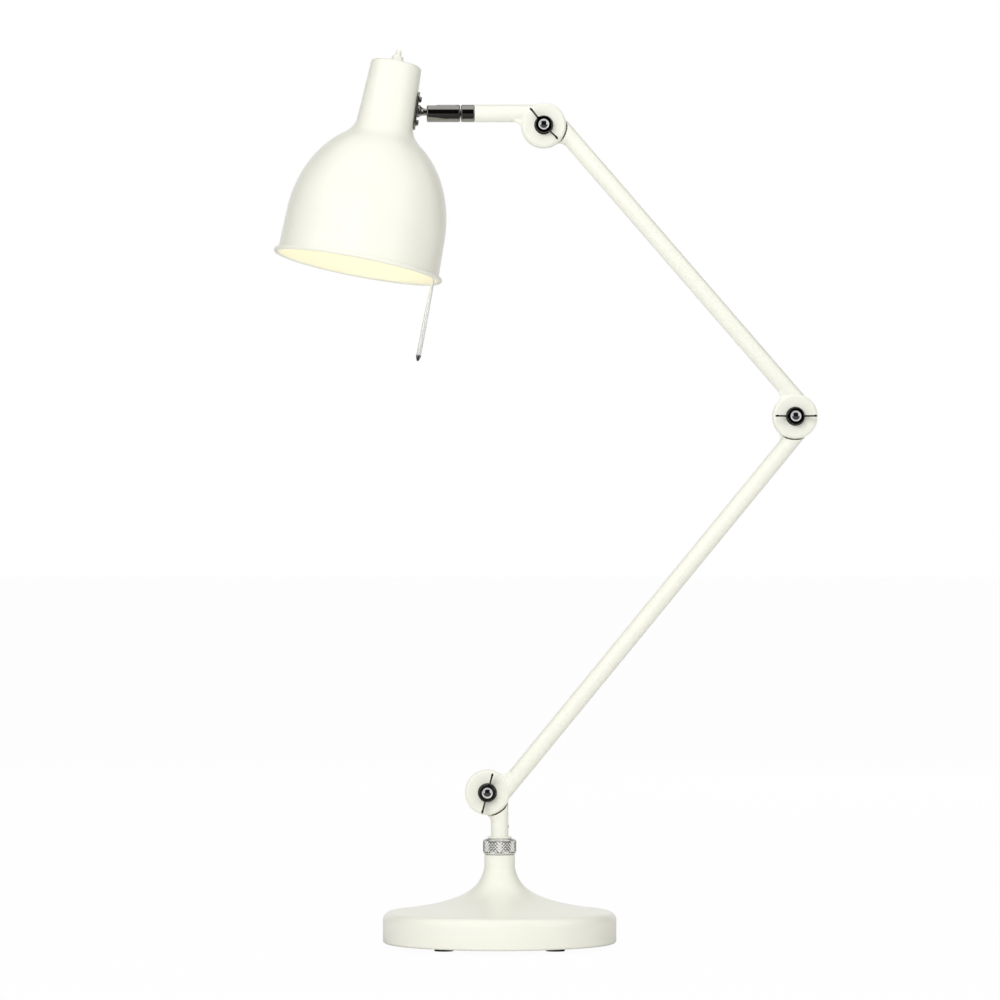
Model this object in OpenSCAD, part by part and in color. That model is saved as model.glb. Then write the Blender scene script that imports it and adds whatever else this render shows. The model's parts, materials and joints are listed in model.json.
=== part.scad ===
// Adjustable desk lamp. A heavy round base carries a stem that turns in a clamped sleeve. Two long arms
// and a short head arm follow, joined by three half-lapped clamp joints, and a slotted ball swivel
// carries the bell shade. The origin is the middle of the base on the table, and the lamp faces -Y.

/* [Base] */
// Diameter of the base
base_d = 187; // [150:1:230]
// Height of the flared base above the table
base_h = 74; // [70:1:95]
// Height of the rounded shoulder above the table
shoulder_z = 28.6; // [26:0.2:34]
// Height at which the flare has become the upright neck
flare_top_z = 63.5; // [56:0.5:68]
// How closely the flare hugs the neck, smaller is tighter
flare_reach = 2.2; // [1.2:0.1:4]
// Rounding of the shoulder above the rim
shoulder_round = 7; // [4:0.5:9]
// Rounding of the bottom edge of the rim
rim_round = 2; // [1.8:0.1:3]
// Sheet thickness of the spun base shell
base_shell_t = 1.6; // [1:0.1:2]
// Thickness of the bottom plate
base_plate_t = 2.4; // [2.2:0.1:3]
// Thickness of the cast weight
weight_t = 15; // [12:0.5:16]
// Diameter of the raised boss on the weight
weight_boss_d = 52; // [44:1:60]
// Height of the top of that boss above the table
weight_boss_z = 31; // [28:0.5:33]
// Diameter of the pocket under the weight
weight_pocket_d = 32; // [30:0.5:38]

/* [Feet and fastenings] */
// Height of the rubber feet below the base
foot_h = 3.5; // [2:0.1:5]
// Diameter of a foot
foot_d = 15; // [10:0.5:18]
// Distance from the rim to the middle of a foot
foot_inset = 31; // [24:1:40]
// Thickness of the flange that traps a foot
foot_flange_t = 1.4; // [1:0.1:2]
// Width of that flange around the foot
foot_flange_w = 2; // [1.5:0.1:3]
// Diameter of the bottom screws
base_screw_d = 4; // [3:0.5:4.5]
// Length of the bottom screws
base_screw_len = 11; // [8:0.5:12]
// Distance from the middle to a bottom screw
base_screw_pitch = 40; // [36:1:44]
// Bore of the cable gland
gland_bore_d = 6.4; // [5:0.1:8]
// Rubber wall of the gland around its bore
gland_wall = 1.6; // [1.2:0.1:2]
// Width of the gland's flanges beyond its body
gland_lip = 1.6; // [1:0.1:2]
// Thickness of a gland flange
gland_lip_t = 1.8; // [1.2:0.1:2.4]
// Height of the gland above the table
gland_z = 13.5; // [12:0.5:15]

/* [Stem and collar] */
// Outside diameter of every tube
tube_d = 14; // [13:0.25:16]
// Wall of every tube
tube_wall = 1.1; // [0.8:0.1:1.5]
// Wall of the sleeve that the stem turns in
sleeve_wall = 3.3; // [3:0.1:4]
// Depth of the sleeve's thread
sleeve_step = 0.8; // [0.5:0.1:1]
// Wall of the slotted jaws at the top of the sleeve
jaw_wall = 2; // [1.8:0.1:2.1]
// Height of those jaws
jaw_h = 3.2; // [2.6:0.1:4]
// Diameter and height of the flange at the foot of the sleeve
sleeve_flange_d = 34; // [30:0.5:40]
// Thickness of that flange
sleeve_flange_t = 3; // [2:0.5:4]
// Thickness of the nut under the weight
sleeve_nut_t = 4; // [3:0.5:4.5]
// Height of the knurled collar
collar_h = 12.4; // [10:0.2:16]
// How far the collar stands out beyond the neck
collar_proud = 1.1; // [0.8:0.1:3]
// Bevel on the collar's edges
collar_bevel = 0.9; // [0.4:0.1:1.2]
// Thickness of the ring on the stem above the collar
stem_ring_t = 2; // [1.5:0.1:3]
// Width of that ring around the stem
stem_ring_w = 2.7; // [2:0.1:3.5]
// Thickness of the clip that keeps the stem in
stem_clip_t = 1.2; // [1:0.1:1.5]
// Depth of the clip's groove
stem_clip_groove = 0.5; // [0.3:0.1:0.6]
// Length of stem below the clip
stem_tail = 1.6; // [1.4:0.1:2]

/* [Clamp joints] */
// Diameter of a joint's discs
disc_d = 36; // [34:0.5:44]
// Thickness of the two discs together
joint_t = 15.2; // [15:0.2:20]
// Gap between the discs
lap_gap = 0.8; // [0.6:0.1:1.2]
// Clearance round a disc where it meets the other arm
disc_clear = 1; // [0.6:0.1:1.4]
// How far a disc stands out beyond the outer side of its arm
disc_lip = 1.2; // [0.8:0.1:2]
// Distance from the joint's axis to the end of the tube
tube_start = 24.5; // [24:0.5:30]
// Length of the casting's spigot inside the tube
spigot_len = 12; // [8:0.5:14]
// Wall of that spigot
spigot_wall = 1.2; // [1:0.1:1.3]
// Fillet between a disc and its arm
web_fillet = 6; // [4:0.5:8]
// Rounded edge of a disc
disc_edge = 1.8; // [0.4:0.1:2]
// Diameter of a joint's bolt
bolt_d = 6; // [5:0.5:7]
// Diameter of the bolt's round head
bolt_head_d = 14; // [12:0.5:16]
// Height of that head
bolt_head_h = 3; // [2.5:0.1:3.5]
// Depth of the square under the head
bolt_square_h = 3.2; // [2.5:0.1:3.6]
// How far the bolt stands out of the nut
bolt_proud = 1.6; // [1:0.1:2.5]
// Diameter of the washer under a wing nut
washer_d = 15.2; // [15:0.2:20]
// Thickness of that washer
washer_t = 1.2; // [1:0.1:1.6]
// Diameter of the friction washer between the discs
pad_d = 16.4; // [14:0.2:17]
// Width of the ring channel where the lead crosses a joint
channel_w = 5; // [4:0.1:5.5]
// Depth of that channel
channel_h = 4.4; // [3:0.1:5]

/* [Wing nuts] */
// Width across a wing nut
wing_span = 33.4; // [28:0.2:36]
// Height of its ears
wing_h = 15; // [12:0.5:17]
// Thickness of an ear
wing_t = 1.9; // [1.4:0.1:2.4]
// Diameter of its foot
nut_foot_d = 13.2; // [12:0.2:15]
// Diameter of its top
nut_top_d = 9.6; // [8.6:0.2:11]
// Height of its body
nut_h = 8; // [6:0.5:9]
// Rounding of an ear's tip
ear_tip_r = 2.6; // [2:0.1:3]
// Direction of the wings at the lower joint
lower_nut_angle = 75; // [-90:1:90]
// Direction of the wings at the elbow
elbow_nut_angle = 0; // [-90:1:90]
// Direction of the wings at the top joint
top_nut_angle = -48; // [-90:1:90]

/* [Arms] */
// Height of the lower joint above the top of the collar
stem_rise = 37.1; // [35:0.1:64]
// Distance between the joints of the lower arm
lower_arm_len = 389.2; // [250:1:500]
// Slope of the lower arm
lower_arm_angle = 50.7; // [48:0.1:90]
// Distance between the joints of the upper arm
upper_arm_len = 308.2; // [200:1:450]
// Slope of the upper arm, from the same horizontal
upper_arm_angle = 130.8; // [115:0.1:150]
// Distance from the top joint to the lock ring
head_arm_len = 55.3; // [50:0.5:80]
// Diameter of the insulated lead inside the tubes
lead_d = 5.2; // [4:0.1:6]

/* [Swivel] */
// Length of the lock ring
lock_ring_len = 11; // [8:0.5:14]
// Open groove between the lock ring and the barrel
swivel_groove = 0.6; // [0.4:0.1:1]
// Length of the barrel
barrel_len = 26.8; // [25:0.2:32]
// Distance from the barrel's mouth to the middle of the ball
ball_inset = 6; // [5.6:0.1:6.6]
// Wall of the barrel round the ball
barrel_wall = 2; // [1.8:0.1:2.4]
// Bevel on the edges of the barrel and ring
swivel_bevel = 0.7; // [0.4:0.1:1]
// Diameter of the stud's neck
stud_d = 5.8; // [5:0.1:6.2]
// Room round the stud in the mouth
mouth_play = 1.4; // [1.2:0.1:1.6]
// Room each side of the stud in the slot
slot_play = 0.2; // [0.15:0.05:0.4]
// Distance from the ball to the mounting plate
stud_len = 13.4; // [12.5:0.1:16]
// Diameter of the stud's foot
stud_foot_d = 10; // [8:0.1:12]
// Tilt of the stud above the barrel's axis
stud_tilt = 7.8; // [0:0.1:15]
// Turn of the shade about the stud
shade_turn = -3.9; // [-10:0.1:10]
// Diameter of the spindle that the barrel turns on
spindle_d = 7; // [6:0.1:7.4]

/* [Mounting plate] */
// Length of the mounting plate
plate_len = 31; // [27:0.5:36]
// Width of the mounting plate
plate_w = 13; // [11:0.5:15]
// Thickness of the mounting plate
plate_t = 1.5; // [1:0.1:2]
// Spacing of its two screws
plate_screw_gap = 19; // [18:0.5:22]
// Diameter of those screws
plate_screw_d = 3; // [2.5:0.1:3.4]
// Diameter of their heads
plate_screw_head_d = 5; // [4.5:0.1:5.6]
// Thickness of the bracket inside the shade
bracket_t = 1.4; // [1:0.1:1.6]
// Width of that bracket
bracket_w = 11; // [9:0.5:12]

/* [Shade] */
// Height of the shade down to its rolled rim
shade_h = 166; // [150:1:190]
// Diameter of the flat top of the shade's neck
shade_top_d = 41.2; // [40.6:0.2:46]
// Rounding of that top
shade_top_round = 3; // [2:0.5:4]
// Slope of the neck's side
neck_taper = 2.9; // [2:0.1:4]
// Length of the straight neck
neck_len = 50; // [46:0.5:51]
// Length of the sweep from neck to bowl
neck_sweep = 14; // [13:0.5:18]
// Diameter of the bowl
bowl_d = 129; // [116:1:140]
// Depth of the bowl's curve
bowl_depth = 83.4; // [80:0.2:88]
// Height of the upright skirt below the bowl
skirt_h = 30; // [20:1:36]
// How far the skirt spreads
skirt_spread = 0.7; // [0.3:0.1:1.5]
// Thickness of the rolled rim
bead_d = 3.8; // [3:0.1:4.6]
// How far the rim's roll stands out from the skirt
bead_out = 1.4; // [1.1:0.1:1.8]
// Sheet thickness of the shade
shade_t = 1.1; // [0.8:0.1:1.3]
// Distance from the shade's top to the swivel
swivel_drop = 35; // [33:0.5:37]

/* [Lampholder and bulb] */
// Depth of the holder's seat below the top
holder_drop = 21.5; // [20.5:0.5:23]
// Outside diameter of the lampholder
holder_d = 31; // [30:0.2:31.6]
// Length of the lampholder
holder_len = 40; // [36:1:44]
// Wall of the lampholder
holder_wall = 1; // [0.8:0.1:1.2]
// Thickness of the threaded shell in it
holder_shell_t = 0.5; // [0.4:0.05:0.6]
// Diameter of the bulb's cap
cap_d = 26.4; // [26:0.1:26.6]
// Length of the bulb's cap
cap_len = 24; // [22:0.5:26]
// Diameter of the bulb
bulb_d = 60; // [50:1:64]
// Whole length of the bulb
bulb_len = 105; // [100:1:110]
// Thickness of the bulb's glass
glass_t = 0.8; // [0.6:0.1:1]
// Number of glowing rods in the bulb
filament_count = 4; // [2:1:6]

/* [Switch] */
// Diameter of the switch's cover at its foot
bezel_d = 11.4; // [10:0.2:13]
// Diameter of the cover at its top
bezel_top_d = 8.2; // [7:0.2:9]
// Height of the cover
bezel_h = 6; // [5:0.2:8]
// Diameter of the push button
button_d = 4.8; // [4:0.1:5]
// How far the button stands out
button_proud = 4.4; // [3.5:0.1:6]
// Travel of the button
button_travel = 2.5; // [1.5:0.1:3]
// Diameter of the switch's body
switch_d = 15; // [13:0.5:18]
// Length of the switch's body
switch_len = 13; // [12:0.5:14]

/* [Handle] */
// Diameter of the handle rod
rod_d = 3.8; // [3:0.1:4.4]
// Length of the rod below the rim, with its tip
rod_reach = 67; // [50:1:90]
// Length of the rod's pointed tip
rod_tip_len = 6; // [4:0.5:8]
// Height of the rod's bend above the rim
rod_rise = 14; // [12:0.5:20]
// Angle that the rod follows the wall inside
rod_bend_angle = 30; // [20:1:45]
// Thickness of the clip that holds the rod
clip_t = 0.9; // [0.6:0.1:1.2]
// Half height of the clip on the wall
clip_h = 6; // [5:0.5:8]

/* [Hidden] */
$fn = 96;

// Clearances: a turning or sliding fit, a seat inside one body, and a gap between bodies
run_fit = 0.06;
seat_gap = 0.05;
body_gap = 0.3;
cut = 1;

cream = "#f4f2e6";
steel = "#b9bcc0";
chrome = "#d5d8dc";
iron = "#4a4b4d";
dark = "#2b2b2b";
nylon = "#e6e2d2";
brass = "#c9a352";

// Countersunk heads: head radius against the screw's diameter
countersink = 0.95;

tube_r = tube_d / 2;
tube_bore_r = tube_r - tube_wall;
spigot_r = tube_bore_r - seat_gap;
spigot_bore_r = spigot_r - spigot_wall;
lead_r = lead_d / 2;
lead_side = spigot_bore_r - lead_r - 2 * seat_gap;

// Base, from the stem outwards
base_r = base_d / 2;
sleeve_bore_r = tube_r + run_fit;
sleeve_r = sleeve_bore_r + sleeve_wall;
thread_r = sleeve_r - sleeve_step;
jaw_r = sleeve_bore_r + jaw_wall;
neck_r = sleeve_r + body_gap + base_shell_t;
lip_r = thread_r + seat_gap;
collar_r = neck_r + collar_proud;
collar_z = base_h + body_gap;
collar_top_z = collar_z + collar_h;
lower_joint_z = collar_top_z + stem_rise;
jaw_z = collar_top_z - jaw_h;
plate_top_z = foot_h + base_plate_t;
weight_top_z = plate_top_z + weight_t;
base_inner_r = base_r - base_shell_t;
sleeve_foot_z = weight_top_z - sleeve_nut_t;
nut_bottom_z = sleeve_foot_z - sleeve_nut_t;
clip_z = nut_bottom_z - body_gap - stem_clip_t;
stem_foot_z = clip_z - stem_tail;
foot_pitch_r = base_r - foot_inset;
foot_r = foot_d / 2;
foot_angles = [45, 135, 225, 315];
screw_angles = [0, 120, 240];
gland_r = gland_bore_d / 2 + gland_wall;
gland_flange_r = gland_r + gland_lip;
channel_half = gland_flange_r + body_gap;
gland_inner_y = base_inner_r - gland_lip_t - body_gap;
base_screw_head_r = base_screw_d * countersink;
flare_r0 = neck_r - flare_reach;
shoulder_r = base_r - shoulder_round;
flare_k = (flare_top_z - shoulder_z) / ln((shoulder_r - flare_r0) / flare_reach);
function flare_z(r) = shoulder_z + flare_k * ln((shoulder_r - flare_r0) / (r - flare_r0));
flare_steps = 18;
// Terminal block: its size, its wire and screw holes, and their places across and along it
block = [11, 20, 8];
block_wire_r = 1.4;
block_screw_r = 1.2;
block_sides = [0.28, 0.72];
block_ends = [0.25, 0.75];

// Stem
ring_z = collar_top_z + 2 * seat_gap;
stem_end_z = lower_joint_z - tube_start;
stem_clip_w = 3;
set_screw_r = 1.5;
set_screw_z = stem_end_z - 2 * set_screw_r;
set_screw_proud = 0.15;

// Joints
disc_r = disc_d / 2;
arm_offset = disc_r - tube_r - disc_lip;
face_y = joint_t / 2;
lap_y = lap_gap / 2;
bolt_r = bolt_d / 2;
bolt_hole_r = bolt_r + run_fit;
bolt_point_r = bolt_r * 0.7;
pad_r = pad_d / 2;
channel_r = pad_r + body_gap;
nut_y = face_y + washer_t + 2 * seat_gap;
bolt_tip_y = nut_y + nut_h + bolt_proud;
// Wing nut: the middle of an ear's tip, and the outline of the ear from the boss to it
ear_tip = [wing_span / 2 - ear_tip_r, wing_h - ear_tip_r];
ear_side = [[bolt_d, nut_h / 16], [ear_tip[0] * 0.72, nut_h / 4], ear_tip + [ear_tip_r, 0],
    ear_tip + ear_tip_r * [-0.7, 0.7], [ear_tip[0] * 0.62, nut_h * 0.9], [bolt_r + 1, nut_h * 0.8]];

// Joint centres, in the plane y = 0
function along(a, d) = [d * cos(a), 0, d * sin(a)];
lower_joint = [-arm_offset, 0, lower_joint_z];
elbow_joint = lower_joint + along(lower_arm_angle, lower_arm_len);
top_joint = elbow_joint + along(upper_arm_angle, upper_arm_len);
ring_start = head_arm_len;
barrel_start = ring_start + seat_gap + lock_ring_len + swivel_groove;
barrel_end = barrel_start + barrel_len;
ball_at = barrel_end - ball_inset;
ball_centre = top_joint + [-ball_at, 0, arm_offset];
ball_r = tube_r - barrel_wall;
ball_socket_r = ball_r + run_fit;
stud_r = stud_d / 2;
spindle_r = spindle_d / 2;
spindle_head_r = ball_r - 4 * seat_gap;
barrel_back_t = 3;
spindle_head_t = 1.8;
spindle_plug = 9;
wire_bore_r = 1.7;
mouth_r = stud_r + mouth_play;
slot_r = stud_r + slot_play;

// Shade: radius against depth below its top
shade_top_r = shade_top_d / 2;
bowl_r = bowl_d / 2;
bowl_t = shade_h - skirt_h;
bead_r = bead_d / 2;
sweep_end = neck_len + neck_sweep;
function neck_at(t) = shade_top_r + (t - shade_top_round) * tan(neck_taper);
function bowl_at(t) = bowl_r * sqrt(1 - pow((bowl_t - t) / bowl_depth, 2));
function bowl_slope(t) = pow(bowl_r / bowl_depth, 2) * (bowl_t - t) / bowl_at(t);
sweep_mid_t = (bowl_at(sweep_end) - bowl_slope(sweep_end) * sweep_end - shade_top_r
    + shade_top_round * tan(neck_taper)) / (tan(neck_taper) - bowl_slope(sweep_end));
sweep_points = [[neck_at(neck_len), neck_len], [neck_at(sweep_mid_t), sweep_mid_t],
    [bowl_at(sweep_end), sweep_end]];
function bezier(p, s) = p[0] * pow(1 - s, 2) + p[1] * 2 * s * (1 - s) + p[2] * s * s;
function arc(c, r, from, to, n) = [for (i = [0 : n]) let (a = from + (to - from) * i / n)
    c + r * [cos(a), sin(a)]];
function reversed(p) = [for (i = [len(p) - 1 : -1 : 0]) p[i]];
// A path moved sideways by d, to the right of its own direction
function beside(p, d) = [for (i = [0 : len(p) - 1]) let (
    a = p[max(i - 1, 0)], b = p[min(i + 1, len(p) - 1)], u = (b - a) / norm(b - a))
    p[i] + d * [u[1], -u[0]]];
base_side = concat(
    [for (i = [0 : flare_steps]) let (
        r = flare_r0 + flare_reach * pow((shoulder_r - flare_r0) / flare_reach, i / flare_steps))
        [r, flare_z(r)]],
    arc([shoulder_r, shoulder_z - shoulder_round], shoulder_round, 78, 0, 8),
    arc([base_r - rim_round, foot_h + rim_round], rim_round, 0, -90, 5));
bowl_from = acos((bowl_t - sweep_end) / bowl_depth);
skirt_end = shade_h - bead_r;
shade_outer = concat(
    arc([shade_top_r - shade_top_round, shade_top_round], shade_top_round, -90, -neck_taper, 5),
    [for (i = [0 : 8]) bezier(sweep_points, i / 8)],
    [for (i = [1 : 16]) let (a = bowl_from + (90 - bowl_from) * i / 16)
        [bowl_r * sin(a), bowl_t - bowl_depth * cos(a)]],
    [[bowl_r + skirt_spread, skirt_end - bead_r], [bowl_r + skirt_spread + bead_out / 2, shade_h]]);
bead_centre = [bowl_r + skirt_spread + bead_out, shade_h];
shade_wall_r = bowl_r - shade_t;
neck_wall_r = neck_at(swivel_drop);
plate_seat_x = stud_len + plate_t + seat_gap;
bracket_sag = (neck_wall_r - shade_t) - sqrt(pow(neck_wall_r - shade_t, 2) - pow(bracket_w / 2, 2));
bracket_x = plate_seat_x + shade_t + bracket_sag + seat_gap;
stud_clip_t = 1;
stud_clip_w = 1.4;
clip_groove = 0.4;
stud_clip_x = bracket_x + bracket_t + body_gap;
plate_screw_z = plate_screw_gap / 2;
plate_screw_r = plate_screw_d / 2;
plate_screw_len = bracket_x + bracket_t - stud_len + 2 * seat_gap;
plate_screw_head_h = plate_screw_head_d * 0.4;
plate_screw_top_d = plate_screw_head_d * 0.8;

// Bulb and switch, as depths below the shade's top
holder_r = holder_d / 2;
holder_end = holder_drop + holder_len;
holder_floor_t = 3;
nipple_r = 5;
cap_r = cap_d / 2;
cap_end = holder_end - 2 * holder_wall;
cap_start = cap_end - cap_len;
contact_h = 2;
tongue_w = 4;
bulb_start = cap_start - contact_h;
bulb_r = bulb_d / 2;
bulb_t = bulb_start + bulb_len - bulb_r;
glass_neck_r = cap_r - 2 * holder_shell_t;
glass_start = cap_start + cap_len / 2;
bulb_shoulder = 52;
shoulder_at = [bulb_r * cos(bulb_shoulder), bulb_t - bulb_r * sin(bulb_shoulder)];
shoulder_run = (shoulder_at[0] - glass_neck_r) / tan(90 - bulb_shoulder);
bulb_side = concat(
    [[glass_neck_r, glass_start], [glass_neck_r, cap_end]],
    [for (i = [1 : 6]) bezier([[glass_neck_r, cap_end], [glass_neck_r, shoulder_at[1] - shoulder_run],
        shoulder_at], i / 6)],
    arc([0, bulb_t], bulb_r, -bulb_shoulder + 8, 84, 14));
glass_stem_r = 2.4;
filament_r = 0.7;
filament_ring_r = 1.6;
filament_half = bulb_r * 0.3;
switch_r = switch_d / 2;
switch_start = shade_t + seat_gap;
switch_end = switch_start + switch_len;
shank_r = bezel_top_d / 2 - 1;
button_r = button_d / 2;
button_depth = switch_len / 3;

// Handle, from the inside of the rim
rod_r = rod_d / 2;
rod_at = shade_wall_r - rod_r - body_gap;
rod_bend_t = shade_h - rod_rise;
rod_end = shade_h + rod_reach;
rod_tip_side = [[rod_r * 0.4, rod_r / 4], [rod_r * 1.1, rod_tip_len * 0.7],
    [rod_r * 1.1, rod_tip_len - seat_gap]];

// Places a child at a joint, with +X along the arm and +Z to its left
module at_joint(p, a) {
    translate(p) rotate([0, -a, 0]) children();
}

module at_stud() {
    translate(ball_centre) rotate([0, stud_tilt, 0]) rotate([shade_turn, 0, 0]) children();
}

// The shade's own axis, with its top at the origin and the opening towards -Z
module at_shade() {
    at_stud() translate([-plate_seat_x, 0, 0]) rotate([0, neck_taper, 0])
        translate([-neck_wall_r, 0, swivel_drop]) children();
}

module along_x(x) {
    translate([x, 0, 0]) rotate([0, 90, 0]) children();
}

module along_y(y) {
    translate([0, y, 0]) rotate([-90, 0, 0]) children();
}

// A ring or tube about +Z
module ring(outer, inner, h) {
    difference() {
        cylinder(r = outer, h = h);
        translate([0, 0, -cut]) cylinder(r = inner, h = h + 2 * cut);
    }
}

// A disc about +Z with both edges bevelled
module bevelled(r, h, bevel) {
    rotate_extrude() polygon([[0, 0], [r - bevel, 0], [r, bevel], [r, h - bevel], [r - bevel, h], [0, h]]);
}

// ---- Base ----

module base_shell() {
    color(cream) difference() {
        rotate_extrude() polygon(concat(
            [[lip_r, base_h], [neck_r, base_h]], base_side,
            reversed(beside(base_side, base_shell_t)),
            [[neck_r - base_shell_t, base_h - base_shell_t], [lip_r, base_h - base_shell_t]]));
        translate([0, 0, gland_z]) along_y(base_inner_r - 2 * cut)
            cylinder(r = gland_r + seat_gap, h = base_shell_t + 4 * cut);
    }
}

module base_weight() {
    pocket_r = weight_pocket_d / 2;
    color(iron) difference() {
        union() {
            translate([0, 0, plate_top_z]) cylinder(r = base_inner_r - 2 * body_gap, h = weight_t);
            cylinder(r = weight_boss_d / 2, h = weight_boss_z);
        }
        translate([0, 0, -cut]) cylinder(r = pocket_r, h = cut + sleeve_foot_z);
        cylinder(r = thread_r + seat_gap, h = weight_boss_z + cut);
        cylinder(r = weight_boss_d, h = plate_top_z);
        translate([-channel_half, 0, -cut])
            cube([2 * channel_half, base_r, cut + weight_top_z - sleeve_nut_t]);
        translate([-channel_half, gland_inner_y - body_gap, -cut])
            cube([2 * channel_half, base_r, weight_top_z + 2 * cut]);
        for (a = foot_angles) rotate([0, 0, a]) translate([foot_pitch_r, 0, 0])
            cylinder(r = foot_r + foot_flange_w + body_gap, h = plate_top_z + foot_flange_t + body_gap);
        for (a = screw_angles) rotate([0, 0, a - 90]) translate([base_screw_pitch, 0, 0])
            cylinder(r = base_screw_d / 2 + seat_gap, h = foot_h + base_screw_len + cut);
    }
}

module base_plate() {
    color(steel) difference() {
        translate([0, 0, foot_h]) cylinder(r = base_r - rim_round - body_gap, h = base_plate_t);
        for (a = foot_angles) rotate([0, 0, a]) translate([foot_pitch_r, 0, 0])
            cylinder(r = foot_r + seat_gap, h = plate_top_z + cut);
        for (a = screw_angles) rotate([0, 0, a - 90]) translate([base_screw_pitch, 0, foot_h]) {
            translate([0, 0, -cut]) cylinder(r = base_screw_d / 2 + 2 * seat_gap, h = base_plate_t + 2 * cut);
            cylinder(r1 = base_screw_head_r + seat_gap, r2 = base_screw_d / 2 + seat_gap,
                h = base_screw_d / 2);
        }
    }
}

module base_screws() {
    color(steel) for (a = screw_angles) rotate([0, 0, a - 90]) translate([base_screw_pitch, 0, foot_h]) {
        difference() {
            union() {
                cylinder(r = base_screw_d / 2, h = base_screw_len);
                cylinder(r1 = base_screw_head_r, r2 = base_screw_d / 2, h = base_screw_d / 2);
            }
            for (t = [0, 90]) rotate([0, 0, t]) cube([base_screw_d, base_screw_d / 5, base_screw_d / 2],
                center = true);
        }
    }
}

module rubber_feet() {
    color(dark) for (a = foot_angles) rotate([0, 0, a]) translate([foot_pitch_r, 0, 0]) {
        cylinder(r = foot_r, h = plate_top_z + foot_flange_t / 2);
        translate([0, 0, plate_top_z]) cylinder(r = foot_r + foot_flange_w, h = foot_flange_t);
    }
}

module cord_gland() {
    outer_y = base_r + body_gap / 2;
    color(dark) translate([0, 0, gland_z]) difference() {
        union() {
            along_y(gland_inner_y) cylinder(r = gland_r, h = outer_y - gland_inner_y + gland_lip_t);
            along_y(gland_inner_y) cylinder(r = gland_flange_r, h = gland_lip_t);
            along_y(outer_y) cylinder(r1 = gland_flange_r, r2 = gland_r, h = gland_lip_t);
        }
        along_y(gland_inner_y - cut)
            cylinder(d = gland_bore_d, h = outer_y - gland_inner_y + gland_lip_t + 2 * cut);
    }
}

module neck_sleeve() {
    color(steel) difference() {
        union() {
            translate([0, 0, weight_boss_z]) cylinder(r = sleeve_flange_d / 2, h = sleeve_flange_t);
            translate([0, 0, weight_boss_z])
                cylinder(r = sleeve_r, h = base_h - base_shell_t - weight_boss_z);
            translate([0, 0, nut_bottom_z]) cylinder(r = thread_r, h = jaw_z - body_gap - nut_bottom_z);
            translate([0, 0, weight_boss_z])
                cylinder(r = jaw_r, h = collar_top_z - weight_boss_z);
        }
        translate([0, 0, nut_bottom_z - cut]) cylinder(r = sleeve_bore_r, h = collar_top_z);
        for (a = [0, 90]) rotate([0, 0, a + 45])
            translate([-base_r, -jaw_wall / 2, base_h]) cube([base_d, jaw_wall, collar_h * 2]);
    }
}

module sleeve_nut() {
    color(steel) translate([0, 0, nut_bottom_z])
        ring(weight_pocket_d / 2 - 2, thread_r + seat_gap, sleeve_nut_t - seat_gap);
}

module terminal_block() {
    color(nylon) translate([-block[0] / 2, weight_pocket_d / 2 + block[2], plate_top_z]) difference() {
        cube(block);
        for (x = block_sides) translate([block[0] * x, 0, block[2] / 2])
            along_y(-cut) cylinder(r = block_wire_r, h = block[1] + 2 * cut);
        for (x = block_sides, y = block_ends) translate([block[0] * x, block[1] * y, block[2] / 2])
            cylinder(r = block_screw_r, h = block[2]);
    }
}

module swivel_collar() {
    color(chrome) translate([0, 0, collar_z]) difference() {
        bevelled(collar_r, collar_h, collar_bevel);
        translate([0, 0, -cut]) cylinder(r = thread_r + 2 * seat_gap, h = collar_h - jaw_h + cut);
        cylinder(r = jaw_r + 2 * seat_gap, h = collar_h + cut);
    }
}

// ---- Stem ----

module stem_tube() {
    color(cream) difference() {
        translate([0, 0, stem_foot_z])
            ring(tube_r, tube_bore_r, stem_end_z - stem_foot_z);
        translate([0, 0, clip_z - seat_gap])
            ring(tube_d, tube_r - stem_clip_groove, stem_clip_t + 2 * seat_gap);
        translate([0, 0, set_screw_z]) along_x(0) cylinder(r = set_screw_r + seat_gap, h = tube_d);
    }
}

module stem_ring() {
    color(cream) translate([0, 0, ring_z]) difference() {
        bevelled(tube_r + stem_ring_w, stem_ring_t, stem_ring_t / 5);
        translate([0, 0, -cut]) cylinder(r = tube_r + seat_gap, h = stem_ring_t + 2 * cut);
    }
}

module stem_clip() {
    color(steel) translate([0, 0, clip_z]) difference() {
        ring(tube_r + stem_clip_w, tube_r - stem_clip_groove + seat_gap, stem_clip_t);
        translate([0, -stem_clip_w / 2, -cut]) cube([tube_d, stem_clip_w, stem_clip_t + 2 * cut]);
    }
}

module stem_lead() {
    color(dark) translate([-lead_side, 0, stem_foot_z])
        cylinder(r = lead_r, h = stem_end_z - stem_foot_z);
}

module stem_set_screw() {
    color(dark) translate([0, 0, set_screw_z]) along_x(tube_bore_r)
        cylinder(r = set_screw_r, h = tube_wall + set_screw_proud);
}

// ---- Clamp joint pieces, about the joint's axis along Y ----

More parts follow.
